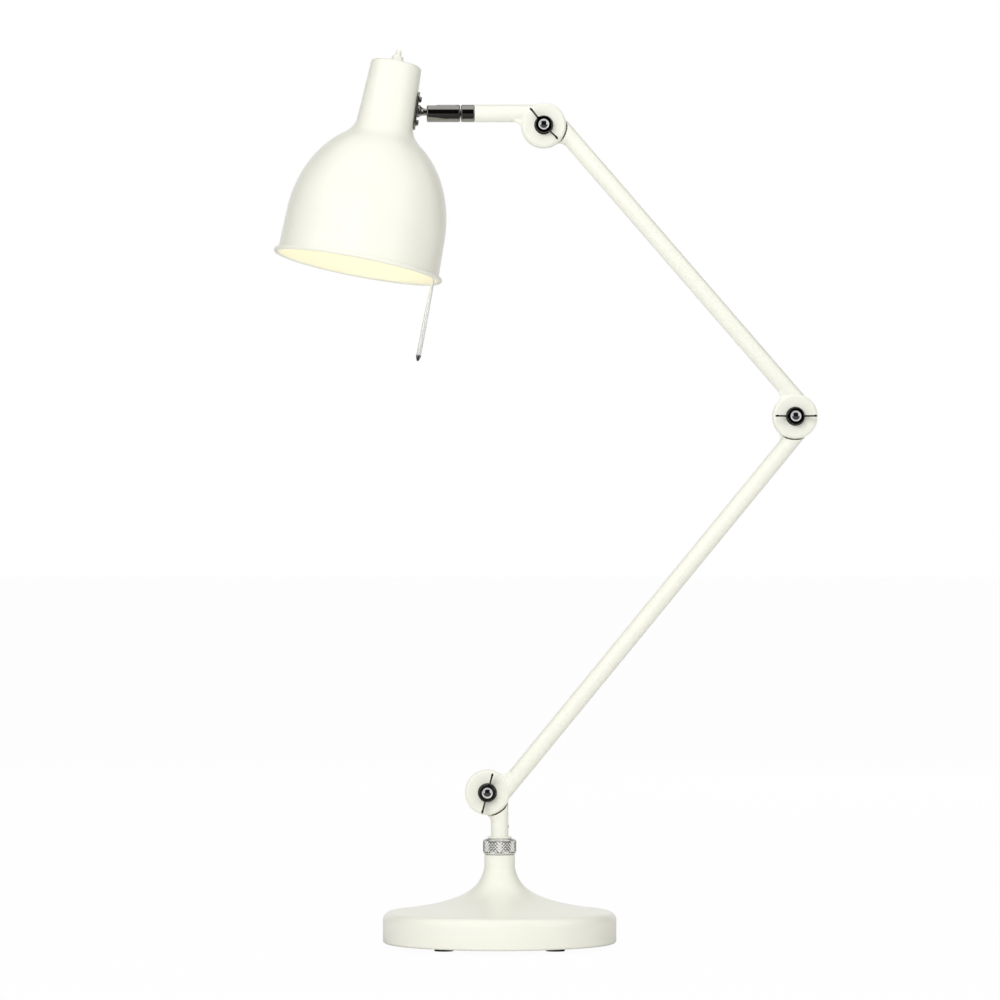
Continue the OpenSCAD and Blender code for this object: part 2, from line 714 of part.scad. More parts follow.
// The rear casting: its disc is the +Y half, and its tube lies on the +Z side
module knuckle_casting() {
    fillet_z = arm_offset - tube_r - web_fillet;
    fillet_x = sqrt(pow(disc_r + web_fillet, 2) - pow(fillet_z, 2));
    difference() {
        union() {
            along_y(lap_y) cylinder(r = disc_r, h = face_y - lap_y - disc_edge);
            along_y(face_y - disc_edge) cylinder(r1 = disc_r, r2 = disc_r - disc_edge, h = disc_edge);
            translate([0, 0, arm_offset]) along_x(0) {
                cylinder(r = tube_r, h = tube_start - seat_gap);
                cylinder(r = spigot_r, h = tube_start + spigot_len);
            }
            translate([0, tube_r - disc_edge, 0]) rotate([90, 0, 0])
                linear_extrude(tube_r - disc_edge - lap_y) difference() {
                    polygon([[0, arm_offset], [fillet_x, arm_offset], [fillet_x, arm_offset - tube_r],
                        [fillet_x * disc_r / (disc_r + web_fillet),
                            fillet_z * disc_r / (disc_r + web_fillet)],
                        [0, 0]]);
                    translate([fillet_x, fillet_z]) circle(r = web_fillet);
                }
        }
        along_y(-face_y - cut) cylinder(r = disc_r + disc_clear, h = face_y + cut + lap_y);
        along_y(-cut) cylinder(r = bolt_hole_r, h = face_y + 2 * cut);
        along_y(lap_y - cut) ring(channel_r + channel_w, channel_r, channel_h + cut);
        translate([0, 0, arm_offset]) along_x(tube_r)
            cylinder(r = spigot_bore_r, h = tube_start + spigot_len);
    }
}

module rear_knuckle() {
    square = bolt_d + 4 * seat_gap;
    color(cream) difference() {
        knuckle_casting();
        translate([-square / 2, face_y - bolt_square_h - seat_gap, -square / 2])
            cube([square, bolt_square_h + cut, square]);
    }
}

module front_knuckle() {
    color(cream) rotate([180, 0, 0]) knuckle_casting();
}

module joint_bolt() {
    dome_r = (pow(bolt_head_d / 2, 2) + pow(bolt_head_h, 2)) / (2 * bolt_head_h);
    head_y = face_y + seat_gap;
    color(chrome) {
        along_y(-bolt_tip_y + bolt_r / 2) cylinder(r = bolt_r, h = bolt_tip_y - bolt_r / 2 + head_y);
        along_y(-bolt_tip_y) cylinder(r1 = bolt_point_r, r2 = bolt_r, h = bolt_r / 2);
        translate([-bolt_r, head_y - bolt_square_h, -bolt_r]) cube([bolt_d, bolt_square_h, bolt_d]);
        intersection() {
            translate([0, head_y + bolt_head_h - dome_r, 0]) sphere(r = dome_r);
            along_y(head_y) cylinder(d = bolt_head_d, h = bolt_head_h);
        }
    }
}

module joint_washer() {
    color(chrome) along_y(-face_y - seat_gap - washer_t) ring(washer_d / 2, bolt_hole_r + seat_gap, washer_t);
}

module friction_washer() {
    color(nylon) along_y(-lap_y + seat_gap) ring(pad_r, bolt_hole_r, lap_gap - 2 * seat_gap);
}

// Wings turned by a about the joint's axis
module wing_nut(a) {
    color(chrome) rotate([0, -a, 0]) translate([0, -nut_y, 0]) rotate([90, 0, 0]) difference() {
        union() {
            cylinder(d1 = nut_foot_d, d2 = nut_top_d, h = nut_h);
            for (s = [0, 180]) rotate([0, 0, s]) translate([0, wing_t / 2, 0]) rotate([90, 0, 0])
                linear_extrude(wing_t) {
                    polygon(ear_side);
                    translate(ear_tip) circle(r = ear_tip_r);
                }
        }
        translate([0, 0, -cut]) cylinder(r = bolt_hole_r, h = nut_h + 2 * cut);
    }
}

// A tube or its lead between the two joints of an arm, on the -Z side of their line
module arm_tube(length) {
    color(cream) translate([0, 0, -arm_offset]) along_x(tube_start)
        ring(tube_r, tube_bore_r, length - 2 * tube_start);
}

module arm_lead(length) {
    color(dark) translate([0, 0, -arm_offset + lead_side]) along_x(tube_start)
        cylinder(r = lead_r, h = length - 2 * tube_start);
}

// ---- Lower joint and lower arm ----

module stem_knuckle() {
    at_joint(lower_joint, -90) rear_knuckle();
}

module lower_bolt() {
    translate(lower_joint) joint_bolt();
}

module lower_friction_washer() {
    translate(lower_joint) friction_washer();
}

module lower_washer() {
    translate(lower_joint) joint_washer();
}

module lower_wing_nut() {
    translate(lower_joint) wing_nut(lower_nut_angle);
}

module lower_arm_tube() {
    at_joint(lower_joint, lower_arm_angle) arm_tube(lower_arm_len);
}

module lower_arm_front_knuckle() {
    at_joint(lower_joint, lower_arm_angle) front_knuckle();
}

module lower_arm_rear_knuckle() {
    at_joint(elbow_joint, lower_arm_angle + 180) rear_knuckle();
}

module lower_arm_lead() {
    at_joint(lower_joint, lower_arm_angle) arm_lead(lower_arm_len);
}

// ---- Elbow and upper arm ----

module elbow_bolt() {
    at_joint(elbow_joint, lower_arm_angle) joint_bolt();
}

module elbow_friction_washer() {
    translate(elbow_joint) friction_washer();
}

module elbow_washer() {
    translate(elbow_joint) joint_washer();
}

module elbow_wing_nut() {
    translate(elbow_joint) wing_nut(elbow_nut_angle);
}

module upper_arm_tube() {
    at_joint(elbow_joint, upper_arm_angle) arm_tube(upper_arm_len);
}

module upper_arm_front_knuckle() {
    at_joint(elbow_joint, upper_arm_angle) front_knuckle();
}

module upper_arm_rear_knuckle() {
    at_joint(top_joint, upper_arm_angle + 180) rear_knuckle();
}

module upper_arm_lead() {
    at_joint(elbow_joint, upper_arm_angle) arm_lead(upper_arm_len);
}

// ---- Top joint and head arm ----

module top_bolt() {
    at_joint(top_joint, upper_arm_angle) joint_bolt();
}

module top_friction_washer() {
    translate(top_joint) friction_washer();
}

module top_washer() {
    translate(top_joint) joint_washer();
}

module top_wing_nut() {
    translate(top_joint) wing_nut(top_nut_angle);
}

module head_arm_knuckle() {
    at_joint(top_joint, 180) front_knuckle();
}

// The head arm's own axis, from the top joint towards the shade
module at_head() {
    at_joint(top_joint, 180) translate([0, 0, -arm_offset]) children();
}

module head_arm_tube() {
    color(cream) at_head() along_x(tube_start) ring(tube_r, tube_bore_r, head_arm_len - tube_start);
}

module head_arm_lead() {
    color(dark) at_head() translate([0, 0, lead_side]) along_x(tube_start)
        cylinder(r = lead_r, h = head_arm_len - tube_start - spindle_plug - body_gap);
}

module swivel_spindle() {
    head_x = barrel_start + barrel_back_t + seat_gap;
    color(steel) at_head() difference() {
        union() {
            along_x(head_arm_len - spindle_plug) cylinder(r = tube_bore_r - seat_gap, h = spindle_plug);
            along_x(head_arm_len - cut) cylinder(r = spindle_r, h = head_x - head_arm_len + 2 * cut);
            along_x(head_x) cylinder(r = spindle_head_r, h = spindle_head_t);
        }
        along_x(head_arm_len - spindle_plug - cut)
            cylinder(r = wire_bore_r, h = head_x + spindle_head_t + 2 * cut);
    }
}

module swivel_lock_ring() {
    color(chrome) at_head() along_x(ring_start + seat_gap) difference() {
        bevelled(tube_r, lock_ring_len, swivel_bevel);
        translate([0, 0, -cut]) cylinder(r = spindle_r + run_fit, h = lock_ring_len + 2 * cut);
    }
}

module swivel_barrel() {
    color(chrome) at_head() difference() {
        along_x(barrel_start) bevelled(tube_r, barrel_len, swivel_bevel);
        along_x(barrel_start - cut) cylinder(r = spindle_r + run_fit, h = barrel_len / 2);
        along_x(barrel_start + barrel_back_t)
            cylinder(r = ball_socket_r, h = ball_at - barrel_start - barrel_back_t);
        translate([ball_at, 0, 0]) sphere(r = ball_socket_r);
        along_x(ball_at) cylinder(r = mouth_r, h = ball_inset + cut);
        along_x(barrel_end - ball_inset / 2) cylinder(r1 = mouth_r, r2 = mouth_r + mouth_play,
            h = ball_inset / 2 + seat_gap);
        translate([ball_at, 0, -tube_r - cut]) cylinder(r = slot_r, h = tube_r + cut);
        translate([ball_at, -slot_r, -tube_r - cut]) cube([ball_inset + cut, 2 * slot_r, tube_r + cut]);
    }
}

module ball_seat() {
    seat_from = barrel_start + barrel_back_t + spindle_head_t + 4 * seat_gap;
    color(nylon) at_head() difference() {
        along_x(seat_from) cylinder(r = ball_socket_r - seat_gap, h = ball_at - ball_r / 2 - seat_from);
        translate([ball_at, 0, 0]) sphere(r = ball_socket_r);
        along_x(seat_from - cut) cylinder(r = wire_bore_r, h = barrel_len);
    }
}

// ---- Ball stud, mounting plate and bracket, with the stud along -X ----

module ball_stud() {
    shank_end = stud_clip_x + 2 * stud_clip_t;
    color(chrome) at_stud() difference() {
        union() {
            along_x(0) sphere(r = ball_r);
            along_x(-stud_len + seat_gap)
                cylinder(d1 = stud_foot_d, d2 = stud_d, h = (stud_len - ball_r) / 2);
            along_x(-shank_end) cylinder(r = stud_r, h = shank_end);
        }
        along_x(-shank_end - cut) cylinder(r = wire_bore_r, h = shank_end + ball_r + 2 * cut);
        along_x(-stud_clip_x - stud_clip_t) ring(stud_d, stud_r - clip_groove, stud_clip_t);
    }
}

module stud_clip() {
    color(steel) at_stud() along_x(-stud_clip_x - stud_clip_t + seat_gap)
        ring(stud_r + stud_clip_w, stud_r - clip_groove + seat_gap, stud_clip_t - 2 * seat_gap);
}

module mounting_plate() {
    corner = plate_w / 2;
    color(chrome) at_stud() translate([-stud_len - plate_t, 0, 0]) rotate([90, 0, 90])
        linear_extrude(plate_t) difference() {
            union() {
                square([plate_w, plate_len - plate_w], center = true);
                for (s = [-1, 1]) translate([0, s * (plate_len / 2 - corner)]) circle(r = corner);
            }
            circle(r = stud_r + run_fit);
            for (s = [-1, 1]) translate([0, s * plate_screw_z]) circle(r = plate_screw_r + seat_gap);
        }
}

module plate_screws() {
    color(chrome) at_stud() for (s = [-1, 1]) translate([0, 0, s * plate_screw_z]) difference() {
        union() {
            along_x(-stud_len - plate_screw_len) cylinder(r = plate_screw_r, h = plate_screw_len + cut);
            along_x(-stud_len + seat_gap)
                cylinder(d1 = plate_screw_head_d, d2 = plate_screw_top_d, h = plate_screw_head_h);
        }
        translate([-stud_len + seat_gap + plate_screw_head_h, 0, 0])
            cube([plate_screw_head_h, plate_screw_head_d, plate_screw_head_h / 3], center = true);
    }
}

module holder_bracket() {
    foot_z = -plate_screw_z - plate_screw_d;
    tab_reach = neck_at(holder_drop) - shade_t - bracket_sag - bracket_t / 2;
    color(steel) difference() {
        union() {
            at_stud() translate([-bracket_x - bracket_t, -bracket_w / 2, foot_z])
                cube([bracket_t, bracket_w, swivel_drop - holder_drop + 2 * bracket_t - foot_z]);
            at_shade() translate([0, 0, -holder_drop]) {
                cylinder(r = 2 * nipple_r, h = bracket_t);
                translate([0, -nipple_r, 0]) cube([tab_reach, 2 * nipple_r, bracket_t]);
            }
        }
        at_shade() translate([0, 0, -holder_drop - cut])
            cylinder(r = nipple_r + seat_gap, h = bracket_t + 2 * cut);
        at_stud() {
            along_x(-bracket_x - 2 * bracket_t) cylinder(r = stud_r + run_fit, h = 3 * bracket_t);
            for (s = [-1, 1]) translate([0, 0, s * plate_screw_z]) along_x(-bracket_x - 2 * bracket_t)
                cylinder(r = plate_screw_r + seat_gap, h = 3 * bracket_t);
        }
    }
}

// ---- Shade and what is in it, as depths below its top ----

module shade() {
    sheet_top = shank_r + seat_gap;
    color(cream) difference() {
        at_shade() rotate_extrude() mirror([0, 1]) union() {
            polygon(concat([[sheet_top, 0]], shade_outer, reversed(beside(shade_outer, -shade_t)),
                [[sheet_top, shade_t]]));
            translate(bead_centre) circle(r = bead_r);
        }
        at_stud() {
            along_x(-bracket_x - bracket_t) cylinder(r = stud_r + body_gap, h = bracket_x);
            for (s = [-1, 1]) translate([0, 0, s * plate_screw_z]) along_x(-bracket_x - bracket_t)
                cylinder(r = plate_screw_r + 2 * seat_gap, h = bracket_x);
        }
    }
}

module lampholder() {
    color(dark) at_shade() rotate([180, 0, 0]) difference() {
        union() {
            translate([0, 0, holder_drop + seat_gap]) cylinder(r = holder_r, h = holder_len);
            translate([0, 0, holder_drop - bracket_t * 2]) cylinder(r = nipple_r, h = bracket_t * 3);
        }
        translate([0, 0, holder_drop + holder_floor_t]) cylinder(r = holder_r - holder_wall, h = holder_len);
        cylinder(r = wire_bore_r, h = holder_end);
    }
}

// The threaded shell and the springy tongue that the bulb presses on
module holder_contacts() {
    shell_r = holder_r - holder_wall - seat_gap;
    shell_h = holder_len / 2;
    floor_at = holder_drop + holder_floor_t + 2 * seat_gap;
    color(brass) at_shade() rotate([180, 0, 0]) {
        translate([0, 0, holder_end - shell_h - 2 * holder_wall])
            ring(shell_r, shell_r - holder_shell_t, shell_h);
        translate([0, -tongue_w / 2, floor_at]) {
            cube([holder_r / 2, tongue_w, holder_shell_t]);
            cube([holder_shell_t * 2, tongue_w, bulb_start - floor_at - seat_gap]);
        }
    }
}

module bulb_cap() {
    color(brass) at_shade() rotate([180, 0, 0]) {
        difference() {
            translate([0, 0, cap_start]) cylinder(r = cap_r, h = cap_len);
            translate([0, 0, cap_start + contact_h])
                cylinder(r = cap_r - holder_shell_t, h = cap_len);
        }
        translate([0, 0, bulb_start]) cylinder(r1 = cap_r / 3, r2 = cap_r / 2, h = contact_h);
    }
}

module bulb_glass() {
    color("white", 0.5) at_shade() rotate_extrude() mirror([0, 1])
        polygon(concat(bulb_side, [[0, bulb_t + bulb_r], [0, bulb_t + bulb_r - glass_t]],
            reversed(beside(bulb_side, -glass_t))));
}

// The glass stem with its glowing rods
module bulb_filaments() {
    stem_top = cap_start + contact_h + seat_gap;
    color("#ffe7a0") at_shade() rotate([180, 0, 0]) {
        translate([0, 0, stem_top]) cylinder(r = glass_neck_r - glass_t - 6 * seat_gap, h = contact_h);
        translate([0, 0, stem_top]) cylinder(r = glass_stem_r, h = bulb_t - filament_half - stem_top);
        for (i = [0 : filament_count - 1]) rotate([0, 0, i * 360 / filament_count])
            translate([filament_ring_r, 0, bulb_t - filament_half - cut])
                cylinder(r = filament_r, h = 2 * filament_half);
    }
}

module switch_body() {
    color(dark) at_shade() rotate([180, 0, 0]) difference() {
        union() {
            translate([0, 0, switch_start]) cylinder(r = switch_r, h = switch_len);
            translate([0, 0, -bezel_h / 2]) cylinder(r = shank_r, h = bezel_h);
        }
        translate([0, 0, -bezel_h]) cylinder(r = button_r + run_fit,
            h = bezel_h + switch_start + button_depth + button_travel + body_gap);
    }
}

module switch_bezel() {
    color(cream) at_shade() difference() {
        cylinder(d1 = bezel_d, d2 = bezel_top_d, h = bezel_h);
        translate([0, 0, -cut]) cylinder(r = shank_r + seat_gap, h = bezel_h / 2 + cut + seat_gap);
        cylinder(r = button_r + run_fit, h = bezel_h + cut);
    }
}

module switch_button() {
    color(cream) at_shade() translate([0, 0, -switch_start - button_depth])
        bevelled(button_r, switch_start + button_depth + bezel_h + button_proud, button_d / 8);
}

// ---- Handle ----

module handle_rod() {
    color(chrome) at_shade() translate([0, 0, -rod_bend_t]) {
        rotate_extrude(angle = rod_bend_angle) translate([rod_at, 0]) circle(r = rod_r);
        translate([rod_at, 0, 0]) sphere(r = rod_r);
        translate([rod_at, 0, rod_bend_t - rod_end + rod_tip_len])
            cylinder(r = rod_r, h = rod_end - rod_tip_len - rod_bend_t);
    }
}

module handle_tip() {
    color(dark) at_shade() translate([rod_at, 0, -rod_end]) rotate_extrude()
        polygon(concat([[0, 0]], rod_tip_side, [[0, rod_tip_len - seat_gap]]));
}

// A saddle spot-welded to the wall over the bent end of the rod
module handle_clip() {
    clip_angle = rod_bend_angle / 3;
    color(chrome) at_shade() translate([0, 0, -rod_bend_t]) rotate([0, 0, rod_bend_angle - clip_angle * 1.5])
        rotate_extrude(angle = clip_angle) difference() {
            union() {
                translate([rod_at, 0]) circle(r = rod_r + clip_t);
                translate([rod_at + rod_r - clip_t, -clip_h])
                    square([clip_t + body_gap - seat_gap, 2 * clip_h]);
            }
            translate([rod_at, 0]) circle(r = rod_r + seat_gap);
            translate([rod_at + rod_r + body_gap - seat_gap, -shade_h]) square([rod_d, 2 * shade_h]);
        }
}

base_shell();
base_weight();
base_plate();
base_screws();
rubber_feet();
cord_gland();
neck_sleeve();
sleeve_nut();
terminal_block();
swivel_collar();
stem_tube();
stem_ring();
stem_clip();
stem_knuckle();
stem_set_screw();
stem_lead();
lower_bolt();
lower_friction_washer();
lower_washer();
lower_wing_nut();
lower_arm_tube();
lower_arm_front_knuckle();
lower_arm_rear_knuckle();
lower_arm_lead();
elbow_bolt();
elbow_friction_washer();
elbow_washer();
elbow_wing_nut();
upper_arm_tube();
upper_arm_front_knuckle();
upper_arm_rear_knuckle();
upper_arm_lead();
top_bolt();
top_friction_washer();
top_washer();
top_wing_nut();
head_arm_knuckle();
head_arm_tube();
head_arm_lead();
swivel_spindle();
swivel_lock_ring();
swivel_barrel();
ball_seat();
ball_stud();
stud_clip();
mounting_plate();
plate_screws();
shade();
holder_bracket();
lampholder();
holder_contacts();
bulb_cap();
bulb_glass();
bulb_filaments();
switch_body();
switch_bezel();
switch_button();
handle_rod();
handle_tip();
handle_clip();
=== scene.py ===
import json
import math

import bmesh
import bpy
from mathutils import Matrix, Vector


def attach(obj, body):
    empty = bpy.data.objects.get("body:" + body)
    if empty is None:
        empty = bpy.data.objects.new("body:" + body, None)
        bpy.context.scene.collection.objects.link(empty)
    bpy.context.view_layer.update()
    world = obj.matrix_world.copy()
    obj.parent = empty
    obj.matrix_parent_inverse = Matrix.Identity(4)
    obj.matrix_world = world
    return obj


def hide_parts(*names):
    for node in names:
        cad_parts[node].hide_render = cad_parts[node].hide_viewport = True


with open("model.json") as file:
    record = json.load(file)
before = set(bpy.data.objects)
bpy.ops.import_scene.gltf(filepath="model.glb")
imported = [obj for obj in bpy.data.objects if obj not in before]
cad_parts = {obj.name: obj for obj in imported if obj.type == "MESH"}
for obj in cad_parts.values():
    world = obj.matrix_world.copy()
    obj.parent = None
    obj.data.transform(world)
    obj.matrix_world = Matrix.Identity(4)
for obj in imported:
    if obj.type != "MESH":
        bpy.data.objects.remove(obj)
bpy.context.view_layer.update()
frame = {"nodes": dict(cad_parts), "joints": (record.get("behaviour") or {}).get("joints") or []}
nodes = frame["nodes"]
joints = {joint["name"]: joint for joint in frame["joints"]}
mm = 0.001

# ---------------------------------------------------------------------------
# Table top, backdrop, lamps and camera. A pale table in a white room, lit by a
# large soft lamp in front on the left and weaker ones on the right, above and
# behind. Bright metal mirrors a dim room with a pale strip on either side.

scene = bpy.context.scene
scene.view_settings.view_transform = "Standard"

camera_data = bpy.data.cameras.new("camera")
camera_data.lens = 194
camera_data.clip_end = 60
camera = bpy.data.objects.new("camera", camera_data)
eye = Vector((0.0003, -4.32, 0.322))
aim = Vector((0.0003, 0, 0.358))
camera.location = eye
camera.rotation_euler = (aim - eye).to_track_quat("-Z", "Y").to_euler()
scene.collection.objects.link(camera)
scene.camera = camera
lit_middle = Vector((0, 0, 0.35))


def soft_lamp(name, place, size, power):
    """A round lamp turned to the middle of the piece, with no mirror image in bright metal."""
    light = bpy.data.lights.new(name, "AREA")
    light.shape = "DISK"
    light.size = size
    light.energy = power
    lamp = bpy.data.objects.new(name, light)
    lamp.location = place
    lamp.rotation_euler = (lit_middle - Vector(place)).to_track_quat("-Z", "Y").to_euler()
    lamp.visible_glossy = False
    scene.collection.objects.link(lamp)


soft_lamp("key_lamp", (-0.7, -3.1, 1.2), 1.8, 48)
soft_lamp("fill_lamp", (2.1, -1.5, 1.1), 1.6, 4)
soft_lamp("top_lamp", (-0.2, -0.6, 2.9), 1.4, 9)
soft_lamp("back_lamp", (0.6, 3.2, 1.5), 2.0, 16)


class Wire:
    """One shader socket. Arithmetic on wires adds Math nodes."""

    def __init__(self, finish, socket):
        self.finish = finish
        self.socket = socket

    def __add__(self, other):
        return self.finish.maths("ADD", self, other)

    def __mul__(self, other):
        return self.finish.maths("MULTIPLY", self, other)

    __radd__ = __add__
    __rmul__ = __mul__


class Finish:
    """A node tree being laid out: a material's, or the room's."""

    def __init__(self, tree):
        self.tree = tree
        self.tree.nodes.clear()

    def node(self, kind, settings, sockets, out=0):
        """Adds a node with its settings and sockets, and returns one of its outputs."""
        made = self.tree.nodes.new(kind)
        for name, value in settings.items():
            if name == "stops":
                band = made.color_ramp.elements
                while len(band) < len(value):
                    band.new(0.5)
                for stop, (place, grey) in zip(band, value):
                    stop.position = place
                    stop.color = (grey, grey, grey, 1)
            else:
                setattr(made, name, value)
        for name, value in sockets.items():
            self.feed(made.inputs[name], value)
        return Wire(self, made.outputs[out]) if made.outputs else None

    def feed(self, socket, value):
        if isinstance(value, Wire):
            self.tree.links.new(value.socket, socket)
        else:
            socket.default_value = value

    def maths(self, operation, a, b):
        return self.node("ShaderNodeMath", {"operation": operation}, {0: a, 1: b})

    def mix(self, share, a, b):
        """The colour between a and b at this share."""
        made = self.tree.nodes.new("ShaderNodeMix")
        made.data_type = "RGBA"
        for name, kind, value in (("Factor", "VALUE", share), ("A", "RGBA", a), ("B", "RGBA", b)):
            self.feed(next(s for s in made.inputs if (s.name, s.type) == (name, kind)), value)
        return Wire(self, next(s for s in made.outputs if s.type == "RGBA"))

    def ranged(self, value, low, high, start, end, curve="SMOOTHSTEP"):
        """The value's way from low to high, turned into a way from start to end."""
        return self.node("ShaderNodeMapRange", {"interpolation_type": curve}, {
            "Value": value, "From Min": low, "From Max": high, "To Min": start, "To Max": end})

    def noise(self, where, scale, detail):
        return self.node("ShaderNodeTexNoise", {}, {"Vector": where, "Scale": scale, "Detail": detail})

    def axis(self, where, letter):
        return self.node("ShaderNodeSeparateXYZ", {}, {0: where}, letter)

    def ray(self, kind):
        """1 for light rays of this kind, and 0 for all others."""
        return self.node("ShaderNodeLightPath", {}, {}, f"Is {kind} Ray")

    def surface(self, sockets):
        """Ends a material's tree in one principled surface."""
        shader = self.node("ShaderNodeBsdfPrincipled", {}, sockets)
        self.node("ShaderNodeOutputMaterial", {}, {"Surface": shader})


def new_look(name):
    """A new material, its empty tree, and the place on the piece to draw by."""
    look = bpy.data.materials.new(name)
    look.use_nodes = True
    finish = Finish(look.node_tree)
    return look, finish, finish.node("ShaderNodeTexCoord", {}, {}, "Object")


room = bpy.data.worlds.new("room")
scene.world = room
room.use_nodes = True
air = Finish(room.node_tree)
toward = air.node("ShaderNodeTexCoord", {}, {}, "Generated")
behind = air.ranged(air.axis(toward, "Y"), 0.7, 0.96, 0.006, 0.9)
overhead = air.ranged(air.axis(toward, "Z"), 0.7, 0.86, 0.0, 0.85)
sideways = air.node("ShaderNodeMath", {"operation": "ABSOLUTE"}, {0: air.axis(toward, "X")})
strip_stops = [(0.0, 0.0), (0.5, 0.0), (0.56, 1.0), (0.84, 1.0), (0.9, 0.0)]
strips = air.node("ShaderNodeValToRGB", {"stops": strip_stops}, {0: sideways})
in_front = air.ranged(air.axis(toward, "Y"), -0.1, 0.1, 1.0, 0.0, "LINEAR")
dim_room = air.maths("MAXIMUM", air.maths("MAXIMUM", behind, overhead), strips * in_front)
dim_colour = air.node("ShaderNodeCombineColor", {}, {0: dim_room, 1: dim_room, 2: dim_room})
lit = air.mix(air.ray("Glossy"), (0.54, 0.535, 0.52, 1), dim_colour)
white = (1, 1, 1, 1)
sky = air.mix(air.maths("MAXIMUM", air.ray("Camera"), air.ray("Transmission")), lit, white)
glow = air.node("ShaderNodeBackground", {}, {"Color": sky, "Strength": 1.0})
air.node("ShaderNodeOutputWorld", {}, {"Surface": glow})

table_mesh = bpy.data.meshes.new("table_top")
table_half, table_front, table_back = 30, -8, 50
table_mesh.from_pydata([(-table_half, table_front, 0), (table_half, table_front, 0),
                        (table_half, table_back, 0), (-table_half, table_back, 0)], [], [(0, 1, 2, 3)])
table_top = bpy.data.objects.new("table_top", table_mesh)
scene.collection.objects.link(table_top)
table_look, top, ground = new_look("table_white")
grain = top.node("ShaderNodeTexNoise", {}, {"Scale": 3.0, "Detail": 3.0})
pale = top.mix(grain, (0.86, 0.86, 0.86, 1), (0.88, 0.88, 0.88, 1))
# Bright metal sees the table darker towards the front: a painted dark reflection.
painted_dark_in_reflections = top.ray("Glossy") * top.ranged(top.axis(ground, "Y"), -0.25, 0.3, 0.93, 0.0)
matt = top.node("ShaderNodeBsdfDiffuse", {}, {"Color": top.mix(painted_dark_in_reflections, pale, (0.02, 0.02, 0.02, 1))})
bright = top.node("ShaderNodeEmission", {}, {"Color": white, "Strength": 1.0})
whitened = top.maths("MAXIMUM", top.ray("Camera"), top.ray("Transmission")) * 0.97
shown = top.node("ShaderNodeMixShader", {}, {0: whitened, 1: matt, 2: bright})
top.node("ShaderNodeOutputMaterial", {}, {"Surface": shown})
table_mesh.materials.append(table_look)

# ---------------------------------------------------------------------------
# Base shell. Sheet steel spun into a flared bell with a rounded shoulder and
# an upright rim, stove-enamelled in cream. A round hole at the back takes the
# cord gland.


def softened(outline, cut, loop=False, steps=4):
    """The outline with each corner swapped for a short curve that starts up to cut before it."""
    points = [Vector(p) for p in outline]
    count = len(points)
    made = []
    for i, p in enumerate(points):
        if not loop and i in (0, count - 1):
            made.append(tuple(p))
            continue
        before, after = points[i - 1] - p, points[(i + 1) % count] - p
        reach = min(cut, before.length * 0.45, after.length * 0.45)
        a, b = p + before.normalized() * reach, p + after.normalized() * reach
        for k in range(steps + 1):
            s = k / steps
            made.append(tuple(a * (1 - s) ** 2 + p * 2 * s * (1 - s) + b * s * s))
    return made


def creased(mesh, angle):
    """Shades a mesh smooth, but for edges sharper than this many degrees."""
    mesh.shade_smooth()
    mesh.set_sharp_from_angle(angle=math.radians(angle))


def closed_mesh(name, verts, faces, place=Matrix.Identity(4), crease=40):
    """A mesh object with its doubles merged, faces outwards and hard edges kept hard."""
    mesh = bpy.data.meshes.new(name)
    mesh.from_pydata(verts, [], faces)
    shape = bmesh.new()
    shape.from_mesh(mesh)
    bmesh.ops.remove_doubles(shape, verts=shape.verts, dist=1e-7)
    bmesh.ops.recalc_face_normals(shape, faces=shape.faces)
    shape.to_mesh(mesh)
    shape.free()
    mesh.transform(place)
    creased(mesh, crease)
    piece = bpy.data.objects.new(name, mesh)
    scene.collection.objects.link(piece)
    return piece


def turned(name, outline, place=Matrix.Identity(4), loop=False, around=96, crease=40):
    """A piece turned about its own axis from (radius, height) points in millimetres."""
    verts, rings = [], []
    for r, z in outline:
        start = len(verts)
        if r < 1e-6:
            verts.append((0, 0, z * mm))
            rings.append([start] * around)
        else:
            turns = [2 * math.pi * k / around for k in range(around)]
            verts += [(r * math.cos(a) * mm, r * math.sin(a) * mm, z * mm) for a in turns]
            rings.append(list(range(start, start + around)))
    faces = []
    for a, b in zip(rings, rings[1:] + (rings[:1] if loop else [])):
        for k in range(around):
            n = (k + 1) % around
            corners = list(dict.fromkeys([a[k], a[n], b[n], b[k]]))
            if len(corners) > 2:
                faces.append(corners)
    return closed_mesh(name, verts, faces, place, crease)


def beside(path, d):
    """The path moved sideways by d, to the right of its own direction."""
    moved = []
    for i, p in enumerate(path):
        a, b = Vector(path[max(i - 1, 0)]), Vector(path[min(i + 1, len(path) - 1)])
        u = (b - a).normalized()
        moved.append((p[0] + d * u.y, p[1] - d * u.x))
    return moved


def arc(centre, r, start, end, steps):
    """Points on a circle, from one angle to another in degrees."""
    turns = [math.radians(start + (end - start) * i / steps) for i in range(steps + 1)]
    return [(centre[0] + r * math.cos(a), centre[1] + r * math.sin(a)) for a in turns]


def painted(name, tint, shade, gloss, orange_peel):
    """Stoved enamel: faint cloudy tone, dust-fine peel and a clear top coat."""
    look, paint, where = new_look(name)
    cloud = paint.noise(where, 9.0, 1.0)
    peel = paint.noise(where, 850.0, 2.0)
    flow = paint.noise(where, 190.0, 1.0)
    relief = paint.node("ShaderNodeBump", {}, {"Strength": orange_peel, "Distance": 0.00012,
                                               "Height": peel * 0.45 + flow * 0.55})
    paint.surface({"Base Color": paint.mix(cloud * 0.9 + peel * 0.1, tint, shade),
                   "Roughness": gloss + cloud * 0.06, "Metallic": 0.0, "IOR": 1.5,
                   "Coat Weight": 0.25, "Coat Roughness": 0.2, "Normal": relief})
    return look


def dressed(piece, look, body, finish_slot, *stands_for):
    """Gives a piece its material and body, and hides the CAD nodes that it stands for. finish_slot is not
    used.
    """
    piece.data.materials.clear()
    piece.data.materials.append(look)
    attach(piece, body)
    if stands_for:
        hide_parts(*stands_for)
    return piece


